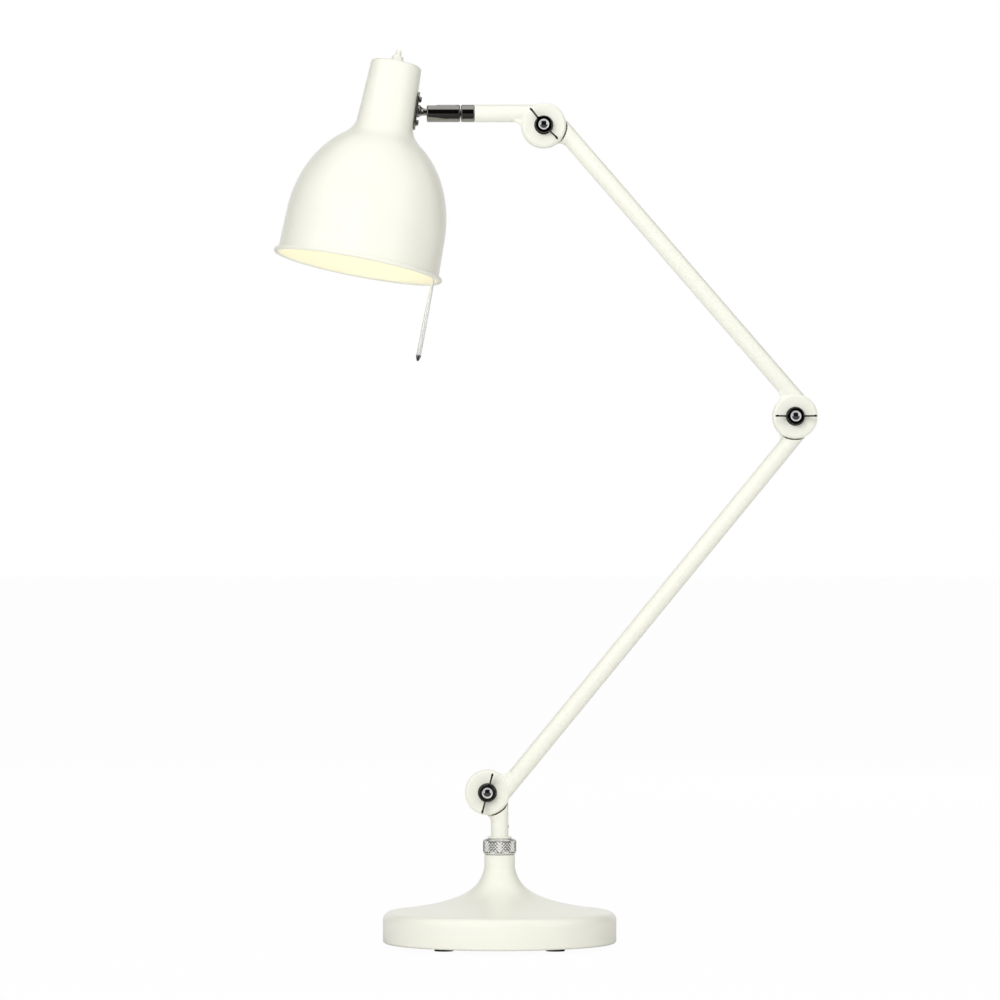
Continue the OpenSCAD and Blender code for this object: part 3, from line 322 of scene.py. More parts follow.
def plain(piece):
    """Works out a piece's modifiers once, and leaves a bare mesh."""
    bpy.context.view_layer.update()
    flat = bpy.data.meshes.new_from_object(piece.evaluated_get(bpy.context.evaluated_depsgraph_get()))
    piece.modifiers.clear()
    piece.data = flat
    return piece


def cut_away(piece, cutter, operation="DIFFERENCE"):
    """Cuts one closed mesh with another, or joins them, and drops the tool."""
    tool = piece.modifiers.new("cut", "BOOLEAN")
    tool.operation = operation
    tool.solver = "EXACT"
    tool.object = cutter
    plain(piece)
    bpy.data.objects.remove(cutter)
    return piece


def coloured(look, *kept):
    """These CAD nodes keep their shape and take a better material."""
    for node in kept:
        nodes[node].data.materials.clear()
        nodes[node].data.materials.append(look)


def cylinder(name, r, low, high, place=Matrix.Identity(4)):
    """A solid round bar about its own axis, for cutting other pieces."""
    return turned(name, [(0, low), (r, low), (r, high), (0, high)], place, around=48)


cream_enamel = painted("cream_enamel", (0.92, 0.925, 0.84, 1), (0.905, 0.905, 0.81, 1), 0.3, 0.02)

base_r, shoulder_round, rim_round = 93.5, 7.0, 2.0
neck_r, base_top, flare_top, shoulder_z = 12.26, 74.0, 63.5, 28.6
flare_reach, shell_t, foot_h = 2.2, 1.6, 3.5
flare_r0, shoulder_r = neck_r - flare_reach, base_r - shoulder_round
reach_ratio = (shoulder_r - flare_r0) / flare_reach
flare_k = (flare_top - shoulder_z) / math.log(reach_ratio)
flare, flare_steps = [], 60
for i in range(flare_steps + 1):
    r = flare_r0 + flare_reach * reach_ratio ** (i / flare_steps)
    flare.append((r, shoulder_z + flare_k * math.log((shoulder_r - flare_r0) / (r - flare_r0))))
base_side = (flare + arc((shoulder_r, shoulder_z - shoulder_round), shoulder_round, 82, 0, 16)
             + arc((base_r - rim_round, foot_h + rim_round), rim_round, 0, -90, 8))
mouth_r, mouth_low, neck_low = 10.0, 72.6, 72.2
base_mouth = softened([(mouth_r, mouth_low), (mouth_r, base_top), (neck_r, base_top),
                       (neck_r, neck_low)], 0.5)
base_outline = base_mouth + base_side + beside(base_side, shell_t)[::-1]
base_shell = turned("base_shell_spun", base_outline, loop=True, around=256, crease=50)
gland_z, gland_hole_r, hole_from, hole_to = 13.5, 4.85, 86, 99
gland_axis = Matrix.Translation((0, 0, gland_z * mm)) @ Matrix.Rotation(-math.pi / 2, 4, "X")
cut_away(base_shell, cylinder("hole_tool", gland_hole_r, hole_from, hole_to, gland_axis))
dressed(base_shell, cream_enamel, "base", "cream_paint", "base_shell")

# ---------------------------------------------------------------------------
# Under the base. A zinc-plated bottom plate closes the shell and holds the
# rough-cast iron weight, with three countersunk screws between four soft
# rubber feet.


def metal(name, tint, shade, rough, grain, peel, brushed=1.0, metallic=1.0):
    """Bare or plated metal: soft tone changes, fine grain in one direction, faint handling marks."""
    look, skin, where = new_look(name)
    drawn = skin.node("ShaderNodeMapping", {}, {"Vector": where, "Scale": (1.0, 1.0, brushed)})
    cloud = skin.noise(where, 60.0, 3.0)
    lines = skin.noise(drawn, 700.0, 3.0)
    relief = skin.node("ShaderNodeBump", {}, {"Strength": peel, "Distance": 0.00008, "Height": lines})
    skin.surface({"Base Color": skin.mix(cloud * 0.5 + lines * 0.5, tint, shade),
                  "Roughness": rough + cloud * grain * 0.5 + lines * grain,
                  "Metallic": metallic, "Normal": relief})
    return look


zinc_plate = metal("zinc_plate", (0.66, 0.67, 0.69, 1), (0.50, 0.51, 0.53, 1), 0.30, 0.14, 0.15, 6.0)
cast_iron = metal("cast_iron", (0.075, 0.075, 0.078, 1), (0.13, 0.13, 0.135, 1), 0.62, 0.2, 0.8)
turned_steel = metal("turned_steel", (0.60, 0.60, 0.61, 1), (0.45, 0.45, 0.47, 1), 0.24, 0.12, 0.2, 9.0)
coloured(zinc_plate, "base_plate", "base_screws")
coloured(turned_steel, "neck_sleeve", "sleeve_nut", "stem_clip", "stud_clip", "swivel_spindle",
         "holder_bracket")
coloured(cast_iron, "base_weight")


def moulded(name, tint, shade, rough, texture, coat=0.0):
    """Moulded rubber or plastic: even colour with a fine moulded texture."""
    look, body, where = new_look(name)
    cloud = body.noise(where, 45.0, 3.0)
    pores = body.node("ShaderNodeTexVoronoi", {}, {"Vector": where, "Scale": 1600.0})
    relief = body.node("ShaderNodeBump", {}, {"Strength": texture, "Distance": 0.0001, "Height": pores})
    body.surface({"Base Color": body.mix(cloud, tint, shade), "Metallic": 0.0, "Coat Weight": coat,
                  "Roughness": rough + cloud * 0.1 + pores * 0.05, "Normal": relief})
    return look


black_rubber = moulded("black_rubber", (0.022, 0.022, 0.022, 1), (0.035, 0.035, 0.034, 1), 0.58, 0.35)
black_phenolic = moulded("black_phenolic", (0.018, 0.017, 0.016, 1), (0.03, 0.028, 0.026, 1),
                         0.28, 0.08, 0.3)
white_nylon = moulded("white_nylon", (0.78, 0.76, 0.68, 1), (0.72, 0.70, 0.62, 1), 0.42, 0.12)
coloured(white_nylon, "terminal_block")
coloured(black_rubber, "rubber_feet", "stem_lead", "lower_arm_lead", "upper_arm_lead", "head_arm_lead")

# ---------------------------------------------------------------------------
# Cord gland. A grey-black rubber grommet pressed into the hole at the back of
# the rim, with a flange inside and a domed flange outside.

gland_bore, gland_body, gland_flange = 3.2, 4.8, 6.4
inner_face, rim_inside, rim_outside, dome_start, gland_end = 89.8, 91.6, 93.65, 94.6, 95.45
gland_outline = softened([
    (gland_bore, inner_face), (gland_flange, inner_face), (gland_flange, rim_inside),
    (gland_body, rim_inside), (gland_body, rim_outside), (gland_flange, rim_outside),
    (gland_flange - 0.5, dome_start), (gland_body - 0.2, gland_end), (gland_bore, gland_end)],
    0.45, loop=True)
gland = turned("cord_grommet", gland_outline, gland_axis, loop=True, around=64, crease=60)
dressed(gland, black_rubber, "base", "rubber", "cord_gland")

# ---------------------------------------------------------------------------
# Clamp collar. A turned brass nut, chromed, with a diamond knurl between two
# polished bevels. Turning it closes the slotted jaws of the sleeve on the stem.

chrome = metal("polished_chrome", (0.82, 0.83, 0.85, 1), (0.76, 0.77, 0.79, 1), 0.045, 0.05, 0.015)
knurled_chrome = metal("knurled_chrome", (0.95, 0.95, 0.95, 1), (0.88, 0.88, 0.88, 1), 0.12, 0.08, 0.05,
                       metallic=0.86)

collar_r, collar_z, collar_h, collar_bore = 13.36, 74.3, 12.4, 8.2
core_r, band, groove, bevel_in, bevel_up = collar_r - 0.42, 1.2, 0.2, 1.5, 1.0
collar_half = [(collar_bore, 0), (collar_r - bevel_in, 0), (collar_r, bevel_up), (collar_r, band),
               (core_r, band + groove)]
collar_half += [(r, collar_h - z) for r, z in collar_half[::-1]]
collar_outline = softened([(r, collar_z + z) for r, z in collar_half], 0.3, loop=True, steps=2)
collar = turned("clamp_collar", collar_outline, loop=True, around=128)


def grower_node(tree, kind, settings, sockets):
    """Adds a node to a geometry tree, its sockets given by place or name, and returns its first output."""
    made = tree.nodes.new(kind)
    for name, value in settings.items():
        setattr(made, name, value)
    for name, value in sockets.items():
        if isinstance(value, bpy.types.NodeSocket):
            tree.links.new(value, made.inputs[name])
        else:
            made.inputs[name].default_value = value
    return made.outputs[0] if made.outputs else None


def sized_tree(name, sizes):
    """A geometry tree with named size inputs and one geometry output."""
    tree = bpy.data.node_groups.new(name, "GeometryNodeTree")
    tree.interface.new_socket("Geometry", in_out="INPUT", socket_type="NodeSocketGeometry")
    for size, kind in sizes.items():
        tree.interface.new_socket(size, in_out="INPUT", socket_type="NodeSocket" + kind)
    tree.interface.new_socket("Geometry", in_out="OUTPUT", socket_type="NodeSocketGeometry")
    return tree, tree.nodes.new("NodeGroupInput").outputs


def grown(piece, tree, sizes):
    """Runs a geometry tree on a piece with these sizes, and keeps the plain mesh."""
    grower = piece.modifiers.new(tree.name, "NODES")
    grower.node_group = tree
    for socket in tree.interface.items_tree:
        if socket.item_type == "SOCKET" and socket.in_out == "INPUT" and socket.name in sizes:
            grower[socket.identifier] = sizes[socket.name]
    return plain(piece)


def diamond_knurl():
    """A tree that sets rows of four-sided points on a turned body, each row half a step further round."""
    tree, given = sized_tree("diamond_knurl", {
        "Radius": "Float", "Bottom": "Float", "Row step": "Float", "Around": "Int", "Rows": "Int",
        "Depth": "Float", "Finish": "Material"})

    def add(kind, settings, sockets):
        return grower_node(tree, kind, settings, sockets)

    def sums(operation, *values):
        return add("ShaderNodeMath", {"operation": operation}, dict(enumerate(values)))

    points = add("GeometryNodePoints", {}, {"Count": sums("MULTIPLY", given["Around"], given["Rows"])})
    which = add("GeometryNodeInputIndex", {}, {})
    row = sums("FLOOR", sums("DIVIDE", which, given["Around"]))
    turn_step = sums("DIVIDE", 2 * math.pi, given["Around"])
    angle = sums("MULTIPLY", sums("ADD", which, sums("MULTIPLY", row, 0.5)), turn_step)
    outward = add("ShaderNodeCombineXYZ", {}, {0: sums("COSINE", angle), 1: sums("SINE", angle)})
    flat_place = add("ShaderNodeVectorMath", {"operation": "SCALE"}, {0: outward, "Scale": given["Radius"]})
    climb = sums("MULTIPLY_ADD", row, given["Row step"], given["Bottom"])
    rise = add("ShaderNodeCombineXYZ", {}, {2: climb})
    spot = add("ShaderNodeVectorMath", {"operation": "ADD"}, {0: flat_place, 1: rise})
    placed = add("GeometryNodeSetPosition", {}, {"Geometry": points, "Position": spot})
    facing = add("FunctionNodeAlignRotationToVector", {"axis": "Z"}, {"Vector": outward})
    upright = add("FunctionNodeAlignRotationToVector", {"axis": "X", "pivot_axis": "Z"},
                  {"Rotation": facing, "Vector": (0, 0, 1)})
    pyramid = add("GeometryNodeMeshCone", {"fill_type": "NGON"},
                  {"Vertices": 4, "Radius Top": 0.0, "Radius Bottom": 1.0, "Depth": 1.0})
    half_wide = sums("MULTIPLY", sums("MULTIPLY", given["Radius"], turn_step), 0.5)
    size = add("ShaderNodeCombineXYZ", {}, {0: given["Row step"], 1: half_wide, 2: given["Depth"]})
    spread = add("GeometryNodeInstanceOnPoints", {},
                 {"Points": placed, "Instance": pyramid, "Rotation": upright, "Scale": size})
    joined = tree.nodes.new("GeometryNodeJoinGeometry")
    tree.links.new(add("GeometryNodeRealizeInstances", {}, {0: spread}), joined.inputs[0])
    tree.links.new(given["Geometry"], joined.inputs[0])
    skinned = add("GeometryNodeSetMaterial", {}, {"Geometry": joined.outputs[0],
                                                  "Material": given["Finish"]})
    add("NodeGroupOutput", {}, {0: skinned})
    return tree


around, rows, sunk, point_h = 32, 6, 0.02, 0.6
row_step = (collar_h - 2 * (band + groove)) / (rows + 1)
grown(collar, diamond_knurl(), {
    "Radius": (core_r - sunk) * mm, "Bottom": (collar_z + band + groove + row_step) * mm,
    "Row step": row_step * mm, "Around": around, "Rows": rows, "Depth": point_h * mm,
    "Finish": knurled_chrome})
for face in collar.data.polygons:
    face.use_smooth = face.loop_total > 3
dressed(collar, knurled_chrome, "collar", "chrome", "swivel_collar")

# ---------------------------------------------------------------------------
# Stem and tubes. The stem is a tube with a stop ring above the collar. All four
# tubes are drawn steel with deburred ends, enamelled, and close up to the
# castings, whose spigots they are pushed over.

ring_z, ring_bore, ring_r = 86.8, 7.05, 9.7
stop_outline = softened([
    (ring_bore, ring_z), (ring_r - 0.4, ring_z), (ring_r, ring_z + 0.5), (ring_r, ring_z + 1.3),
    (ring_r - 1.1, ring_z + 2.0), (ring_bore, ring_z + 2.0)], 0.35, loop=True)
stop_ring = turned("stem_stop_ring", stop_outline, loop=True)
dressed(stop_ring, cream_enamel, "stem", "cream_paint", "stem_ring")
tube_r, tube_bore_r = 7.0, 5.9


def drawn_tube(node, body, along, under, over):
    """A tube turned afresh on its CAD node, longer at either end by what laps onto a casting."""
    side = Vector((0, 1, 0)).cross(along)
    spans = []
    for direction in (side, Vector((0, 1, 0)), along):
        reach = [corner.co.dot(direction) for corner in nodes[node].data.vertices]
        spans.append((min(reach), max(reach)))
    place = Matrix((side, (0, 1, 0), along)).transposed().to_4x4()
    place.translation = side * sum(spans[0]) / 2 + along * spans[2][0]
    end = (spans[2][1] - spans[2][0]) / mm + over
    outline = softened([(tube_bore_r, -under), (tube_r, -under), (tube_r, end), (tube_bore_r, end)],
                       0.1, loop=True)
    tube = turned(node + "_drawn", outline, place, loop=True, around=96)
    return dressed(tube, cream_enamel, body, "cream_paint", node)


lap = 1.3
drawn_tube("stem_tube", "stem", Vector((0, 0, 1)), 0, lap)
for node, start, end in (("lower_arm", "lower_joint", "elbow_joint"),
                         ("upper_arm", "elbow_joint", "top_joint")):
    run = Vector(joints[end]["pos_m"]) - Vector(joints[start]["pos_m"])
    drawn_tube(node + "_tube", node, run.normalized(), lap, lap)
drawn_tube("head_arm_tube", "head_arm", Vector((-1, 0, 0)), lap, 0)

# ---------------------------------------------------------------------------
# Joint castings. Six zinc castings of one pattern: half a lapped disc with a
# fillet into a round neck, and a spigot for the tube. Tumbled so that every
# edge is soft, then enamelled.

cast_enamel = painted("cast_enamel", (0.92, 0.925, 0.84, 1), (0.90, 0.90, 0.805, 1), 0.32, 0.03)


def worn(piece, voxel, passes):
    """Rounds every edge: the piece is remeshed at this cell size and smoothed this often."""
    skin = piece.modifiers.new("skin", "REMESH")
    skin.mode = "VOXEL"
    skin.voxel_size = voxel
    ease = piece.modifiers.new("ease", "SMOOTH")
    ease.iterations = passes
    plain(piece)
    piece.data.shade_smooth()


def tumbled(node, body):
    """The CAD casting with every edge softened as tumbling leaves it."""
    mesh = nodes[node].data.copy()
    shape = bmesh.new()
    shape.from_mesh(mesh)
    bmesh.ops.remove_doubles(shape, verts=shape.verts, dist=1e-7)
    shape.to_mesh(mesh)
    shape.free()
    piece = bpy.data.objects.new(node + "_casting", mesh)
    scene.collection.objects.link(piece)
    worn(piece, 0.42 * mm, 9)
    return dressed(piece, cast_enamel, body, "cream_casting", node)


for node, body in (("stem_knuckle", "stem"), ("lower_arm_front_knuckle", "lower_arm"),
                   ("lower_arm_rear_knuckle", "lower_arm"), ("upper_arm_front_knuckle", "upper_arm"),
                   ("upper_arm_rear_knuckle", "upper_arm"), ("head_arm_knuckle", "head_arm")):
    tumbled(node, body)

# ---------------------------------------------------------------------------
# Joint bolts. A chromed carriage bolt goes through each pair of castings from
# the back, with a nylon friction washer between them and a chromed washer in
# front, drawn near black: a painted dark reflection. A grub screw, also drawn
# dark, locks the stem in its casting.

# Steel drawn near black; on the chromed washers this is a painted dark reflection.
blackened = metal("steel_drawn_dark", (0.045, 0.045, 0.048, 1), (0.07, 0.07, 0.075, 1), 0.30, 0.15, 0.1)
face_y, seat, head_r, head_h, bolt_r, bolt_bevel = 7.6, 0.05, 7.0, 3.0, 3.0, 1.1
washer_bore, washer_r, washer_t = 3.2, 7.6, 1.2
washer_y = face_y + seat
nut_y = washer_y + washer_t + seat
bolt_end = nut_y + 7.9


def at_joint(name):
    """Turns a piece's own +Z to face forwards, at the named joint."""
    return Matrix.Translation(joints[name]["pos_m"]) @ Matrix.Rotation(math.pi / 2, 4, "X")


dome_r = [head_r * math.sin(math.radians(a)) for a in range(0, 91, 6)]
dome = [(r, -washer_y - head_h * (1 - (r / head_r) ** 2) ** 0.5) for r in dome_r]
shank = softened([(head_r, -washer_y), (bolt_r, -washer_y), (bolt_r, bolt_end - 0.5),
                  (bolt_r - bolt_bevel, bolt_end)], 0.1)
bolt_outline = dome + shank + [(0, bolt_end)]
washer_outline = softened([(washer_bore, washer_y), (washer_r, washer_y), (washer_r, washer_y + washer_t),
                           (washer_bore, washer_y + washer_t)], 0.35, loop=True)
for joint, body, name in (("lower_joint", "stem", "lower"), ("elbow_joint", "lower_arm", "elbow"),
                          ("top_joint", "upper_arm", "top")):
    bolt = turned(name + "_carriage_bolt", bolt_outline, at_joint(joint), around=64, crease=35)
    dressed(bolt, chrome, body, "chrome", name + "_bolt")
    washer = turned(name + "_steel_washer", washer_outline, at_joint(joint), loop=True, around=64)
    dressed(washer, blackened, body, "chrome", name + "_washer")
    coloured(white_nylon, name + "_friction_washer")
coloured(blackened, "stem_set_screw")

# ---------------------------------------------------------------------------
# Wing nuts. Cast, tapped and chromed: a round boss with two thin ears
# whose tips are rounded, blended into the boss where they leave it. The
# chrome is drawn near black, a painted dark reflection of the room. The
# countersink is cut after plating, and is drawn as pale, partly matt metal,
# a painted bright reflection.

# Pale, partly matt metal: on the countersinks and the handle rod a painted bright reflection.
pale_metal_painted_glint = metal("pale_metal_painted_glint", (0.94, 0.94, 0.95, 1), (0.88, 0.88, 0.89, 1), 0.14, 0.06, 0.02, 9.0, 0.35)
# Chrome drawn near black: a painted dark reflection of the room.
chrome_painted_dark = metal("chrome_painted_dark", (0.17, 0.165, 0.16, 1), (0.14, 0.135, 0.13, 1), 0.05, 0.05, 0.015)
boss_r, boss_h, nut_bore = 6.9, 7.4, 3.08
ear_half, ear_root_half, ear_root_x, ear_flare = 0.72, 4.6, 7.4, 1.6
tip_r, tip_half, tip_x, tip_z = 1.0, 2.0, 15.0, 12.8
sink_r, sink_rim_r, sink_z, sink_rim_z = 2.9, 5.1, 6.8, 7.8
ear_low = [(1.5, 0.6), (5.0, 0.7), (6.4, 0.8), (7.4, 1.0), (10.6, 3.2), (13.2, 7.0), (15.9, 10.9),
           (16.6, 12.0)]
ear_high = [(1.5, 6.6), (5.0, 6.7), (6.4, 6.9), (7.4, 7.6), (10.2, 10.6), (12.2, 14.1), (14.1, 15.0),
            (16.6, 13.2)]


def ear(side):
    """One ear, in stations outwards from the boss, thickest where it leaves it."""
    verts = []
    for x, z in [point for pair in zip(ear_low, ear_high) for point in pair]:
        half = min(ear_root_half, ear_half + max(0.0, ear_root_x - x) * ear_flare)
        verts += [(side * x * mm, -half * mm, z * mm), (side * x * mm, half * mm, z * mm)]
    last = len(verts) - 4
    faces = [(0, 1, 3, 2), (last, last + 1, last + 3, last + 2)]
    for a in range(0, last, 4):
        faces += [(a, a + 4, a + 6, a + 2), (a + 1, a + 3, a + 7, a + 5),
                  (a, a + 1, a + 5, a + 4), (a + 2, a + 6, a + 7, a + 3)]
    return closed_mesh("ear", verts, faces)


def wing_nut(name, joint, body, wings_at):
    """A wing nut on the joint's front, its wings turned from +X by wings_at degrees."""
    boss = turned("boss", softened([(0, 0), (boss_r, 0), (boss_r, boss_h - 0.4), (boss_r - 0.4, boss_h),
                                    (0, boss_h)], 0.3), around=64)
    tip_outline = softened([(0, -tip_half), (tip_r, -tip_half), (tip_r, tip_half), (0, tip_half)], 0.5)
    for side in (1, -1):
        cut_away(boss, ear(side), "UNION")
        at_tip = Matrix.Translation((side * tip_x * mm, 0, tip_z * mm))
        cut_away(boss, turned("tip", tip_outline, at_tip, around=24), "UNION")
    cut_away(boss, cylinder("bore", nut_bore, -3, 12))
    worn(boss, 0.22 * mm, 4)
    countersink = [(0, sink_z), (sink_r, sink_z), (sink_rim_r, sink_rim_z), (0, sink_rim_z)]
    cut_away(boss, turned("countersink", countersink, around=64))
    # The countersink's faces, which take the pale metal: a painted bright reflection ring.
    slanted = [face.index for face in boss.data.polygons
               if face.center.z > 6.5 * mm and face.center.xy.length < 4.6 * mm
               and 0.8 < face.normal.z < 0.97]
    spun = Matrix.Rotation(math.radians(wings_at), 4, "Z")
    boss.data.transform(at_joint(joint) @ Matrix.Translation((0, 0, nut_y * mm)) @ spun)
    boss.name = name + "_cast"
    dressed(boss, chrome_painted_dark, body, "chrome", name)
    boss.data.materials.append(pale_metal_painted_glint)
    for i in slanted:
        boss.data.polygons[i].material_index = 1


wing_nut("lower_wing_nut", "lower_joint", "lower_nut", 75)
wing_nut("elbow_wing_nut", "elbow_joint", "elbow_nut", 0)
wing_nut("top_wing_nut", "top_joint", "top_nut", -48)

# ---------------------------------------------------------------------------
# Ball swivel. A chromed lock ring and barrel on the end of the head arm,
# their chrome drawn at half brightness: a painted dimming of its reflections.
# The barrel's mouth is slotted on top, so that the stud can swing up.
# Inside, a nylon seat presses on the ball.


def block(name, xs, ys, zs):
    """A plain block between these pairs of limits in millimetres, for cutting other pieces."""
    return closed_mesh(name, [(x * mm, y * mm, z * mm) for x in xs for y in ys for z in zs],
                       [(0, 1, 3, 2), (4, 6, 7, 5), (0, 4, 5, 1), (2, 3, 7, 6), (0, 2, 6, 4), (1, 5, 7, 3)])


# Chrome drawn at about half brightness: a painted dimming of its reflections.
chrome_painted_dim = metal("chrome_painted_dim", (0.43, 0.415, 0.385, 1), (0.37, 0.355, 0.33, 1), 0.05, 0.05, 0.015)
ball = Vector(joints["ball_tilt"]["pos_m"])
head_axis = Matrix.Translation(ball) @ Matrix.Rotation(-math.pi / 2, 4, "Y")
barrel_back, barrel_mouth, barrel_r, spindle_bore = -20.8, 6.0, 7.0, 3.56
end_r, bevel, lock_gap, lock_len = 6.2, 0.7, 0.6, 11.0
lock_front = barrel_back - lock_gap
lock_back = lock_front - lock_len
ring_outline = softened([
    (spindle_bore, lock_back), (end_r, lock_back), (barrel_r, lock_back + bevel),
    (barrel_r, lock_front - bevel), (end_r, lock_front), (spindle_bore, lock_front)], 0.35, loop=True)
lock_ring = turned("lock_ring_turned", ring_outline, head_axis, loop=True)
dressed(lock_ring, chrome_painted_dim, "lock_ring", "chrome", "swivel_lock_ring")
seat_r, throat_r, slot_half, slot_reach, slit_h, back_t = 5.06, 4.3, 3.1, 9, 8, 3.0
barrel_outline = softened([
    (spindle_bore, barrel_back), (end_r, barrel_back), (barrel_r, barrel_back + bevel),
    (barrel_r, barrel_mouth - bevel), (barrel_r - bevel, barrel_mouth), (barrel_r - 1.3, barrel_mouth),
    (throat_r, barrel_mouth - 3.0), (throat_r, 2.7)], 0.3)
barrel_outline += arc((0, 0), seat_r, 30, 0, 5)
barrel_outline += [(seat_r, barrel_back + back_t), (spindle_bore, barrel_back + back_t)]
barrel = turned("swivel_barrel_turned", barrel_outline, loop=True, crease=35)
cut_away(barrel, cylinder("slot", slot_half, 0, slot_reach, Matrix.Rotation(math.pi / 2, 4, "Y")))
cut_away(barrel, block("slit", (0, slot_reach), (-slot_half, slot_half), (0, slit_h)))
barrel.data.transform(head_axis)
dressed(barrel, chrome_painted_dim, "barrel", "chrome", "swivel_barrel")
coloured(white_nylon, "ball_seat")

# ---------------------------------------------------------------------------
# Ball stud, mounting plate and its two screws, all chromed, the chrome drawn
# at half brightness: a painted dimming of its reflections. The stud flares to
# a foot on the plate, which is pressed steel with rounded ends.

shade_turn, stud_tilt = math.radians(-3.9), math.radians(7.8)
at_stud = (Matrix.Translation(ball) @ Matrix.Rotation(stud_tilt, 4, "Y")
           @ Matrix.Rotation(shade_turn, 4, "X"))
stud_out = at_stud @ Matrix.Rotation(-math.pi / 2, 4, "Y")
stud_len, plate_t = 13.4, 1.5
ball_r, foot_r, foot_back, shank_r, wire_bore_r = 5.0, 5.0, 13.35, 2.9, 1.7
clip_x, clip_groove_r, clip_wide, shank_end = 18.53, 2.5, 1.0, 20.53
ball_back = [(ball_r * math.sin(math.radians(a)), -ball_r * math.cos(math.radians(a)))
             for a in range(20, 147, 6)]
stud_neck = [(2.9, 4.08), (2.75, 5.5), (2.75, 7.2), (2.95, 9.0), (3.7, 10.8), (4.8, 11.9), (foot_r, 12.4)]
stud_outline = ball_back + stud_neck + [
    (foot_r, foot_back), (shank_r, foot_back), (shank_r, clip_x), (clip_groove_r, clip_x),
    (clip_groove_r, clip_x + clip_wide), (shank_r, clip_x + clip_wide), (shank_r - 0.3, shank_end),
    (wire_bore_r, shank_end)]
stud = turned("ball_stud_turned", stud_outline, stud_out, loop=True, around=64, crease=50)
dressed(stud, chrome_painted_dim, "stud", "chrome", "ball_stud")

plate_half, plate_end = 6.5, 9.0
plate_outline = arc((plate_end, 0), plate_half, -90, 90, 16) + arc((-plate_end, 0), plate_half, 90, 270, 16)
sides = len(plate_outline)
plate_verts = [(x * mm, y * mm, z * mm) for z in (0, plate_t) for x, y in plate_outline]
plate_faces = [list(range(sides)), list(range(2 * sides - 1, sides - 1, -1))]
plate_faces += [[i, (i + 1) % sides, sides + (i + 1) % sides, sides + i] for i in range(sides)]
plate = closed_mesh("mounting_plate_pressed", plate_verts, plate_faces, crease=30)
edge = plate.modifiers.new("edge", "BEVEL")
edge.width = 0.35 * mm
edge.segments = 3
edge.limit_method = "ANGLE"
plain(plate)
plate.data.transform(stud_out @ Matrix.Translation((0, 0, stud_len * mm)))
creased(plate.data, 35)
dressed(plate, chrome_painted_dim, "shade_head", "chrome", "mounting_plate")

screw_r, screw_len, screw_head_r, screw_slot_half, slot_floor = 1.5, 1.0, 2.5, 0.35, -1.2
screw_head = turned("plate_screw_shape", softened([
    (0, screw_len), (screw_r, screw_len), (screw_r, -seat), (screw_head_r, -seat), (screw_head_r, -0.9),
    (1.9, -1.9), (0, -2.05)], 0.5), around=48)
cut_away(screw_head, block("screw_slot", (-3, 3), (-screw_slot_half, screw_slot_half), (-2.6, slot_floor)))
creased(screw_head.data, 35)


def screw_row():
    """A tree that sets a row of copies of one screw."""
    tree, given = sized_tree("screw_row", {"Screw": "Object", "Count": "Int", "Start": "Vector",
                                           "Step": "Vector", "Finish": "Material"})
    line = grower_node(tree, "GeometryNodeMeshLine", {}, {
        "Count": given["Count"], "Start Location": given["Start"], "Offset": given["Step"]})
    one = tree.nodes.new("GeometryNodeObjectInfo")
    one.transform_space = "ORIGINAL"
    tree.links.new(given["Screw"], one.inputs["Object"])
    spread = grower_node(tree, "GeometryNodeInstanceOnPoints", {},
                         {"Points": line, "Instance": one.outputs["Geometry"]})
    solid = grower_node(tree, "GeometryNodeRealizeInstances", {}, {0: spread})
    skinned = grower_node(tree, "GeometryNodeSetMaterial", {},
                          {"Geometry": solid, "Material": given["Finish"]})
    grower_node(tree, "NodeGroupOutput", {}, {0: skinned})
    return tree


screw_apart = 19
plate_pair = bpy.data.objects.new("plate_screw_pair", bpy.data.meshes.new("plate_screw_pair"))
scene.collection.objects.link(plate_pair)
grown(plate_pair, screw_row(), {"Screw": screw_head, "Count": 2,
                                "Start": (-screw_apart / 2 * mm, 0, stud_len * mm),
                                "Step": (screw_apart * mm, 0, 0), "Finish": chrome_painted_dim})
bpy.data.objects.remove(screw_head)
plate_pair.data.transform(stud_out)
dressed(plate_pair, chrome_painted_dim, "shade_head", "chrome", "plate_screws")

# ---------------------------------------------------------------------------
# Shade. Spun steel: a straight neck, a sweep into a deep bowl, an upright
# skirt and a rolled rim. Cream enamel outside, glossy white enamel inside.

shade_top_r, top_round, taper, neck_len, sweep = 20.6, 3.0, math.radians(2.9), 50.0, 14.0
bowl_r, bowl_depth, shade_h, skirt_h, spread_r, sheet = 64.5, 83.4, 166.0, 30.0, 0.7, 1.1
swivel_drop, bead_r, bead_out, top_hole_r = 35.0, 1.9, 1.4, 3.5
bowl_t = shade_h - skirt_h
sweep_end = neck_len + sweep


def neck_at(t):
    """The neck's outer radius at t below the top."""
    return shade_top_r + (t - top_round) * math.tan(taper)


def bowl_at(t):
    """The bowl's outer radius at t below the top."""
    return bowl_r * math.sqrt(1 - ((bowl_t - t) / bowl_depth) ** 2)


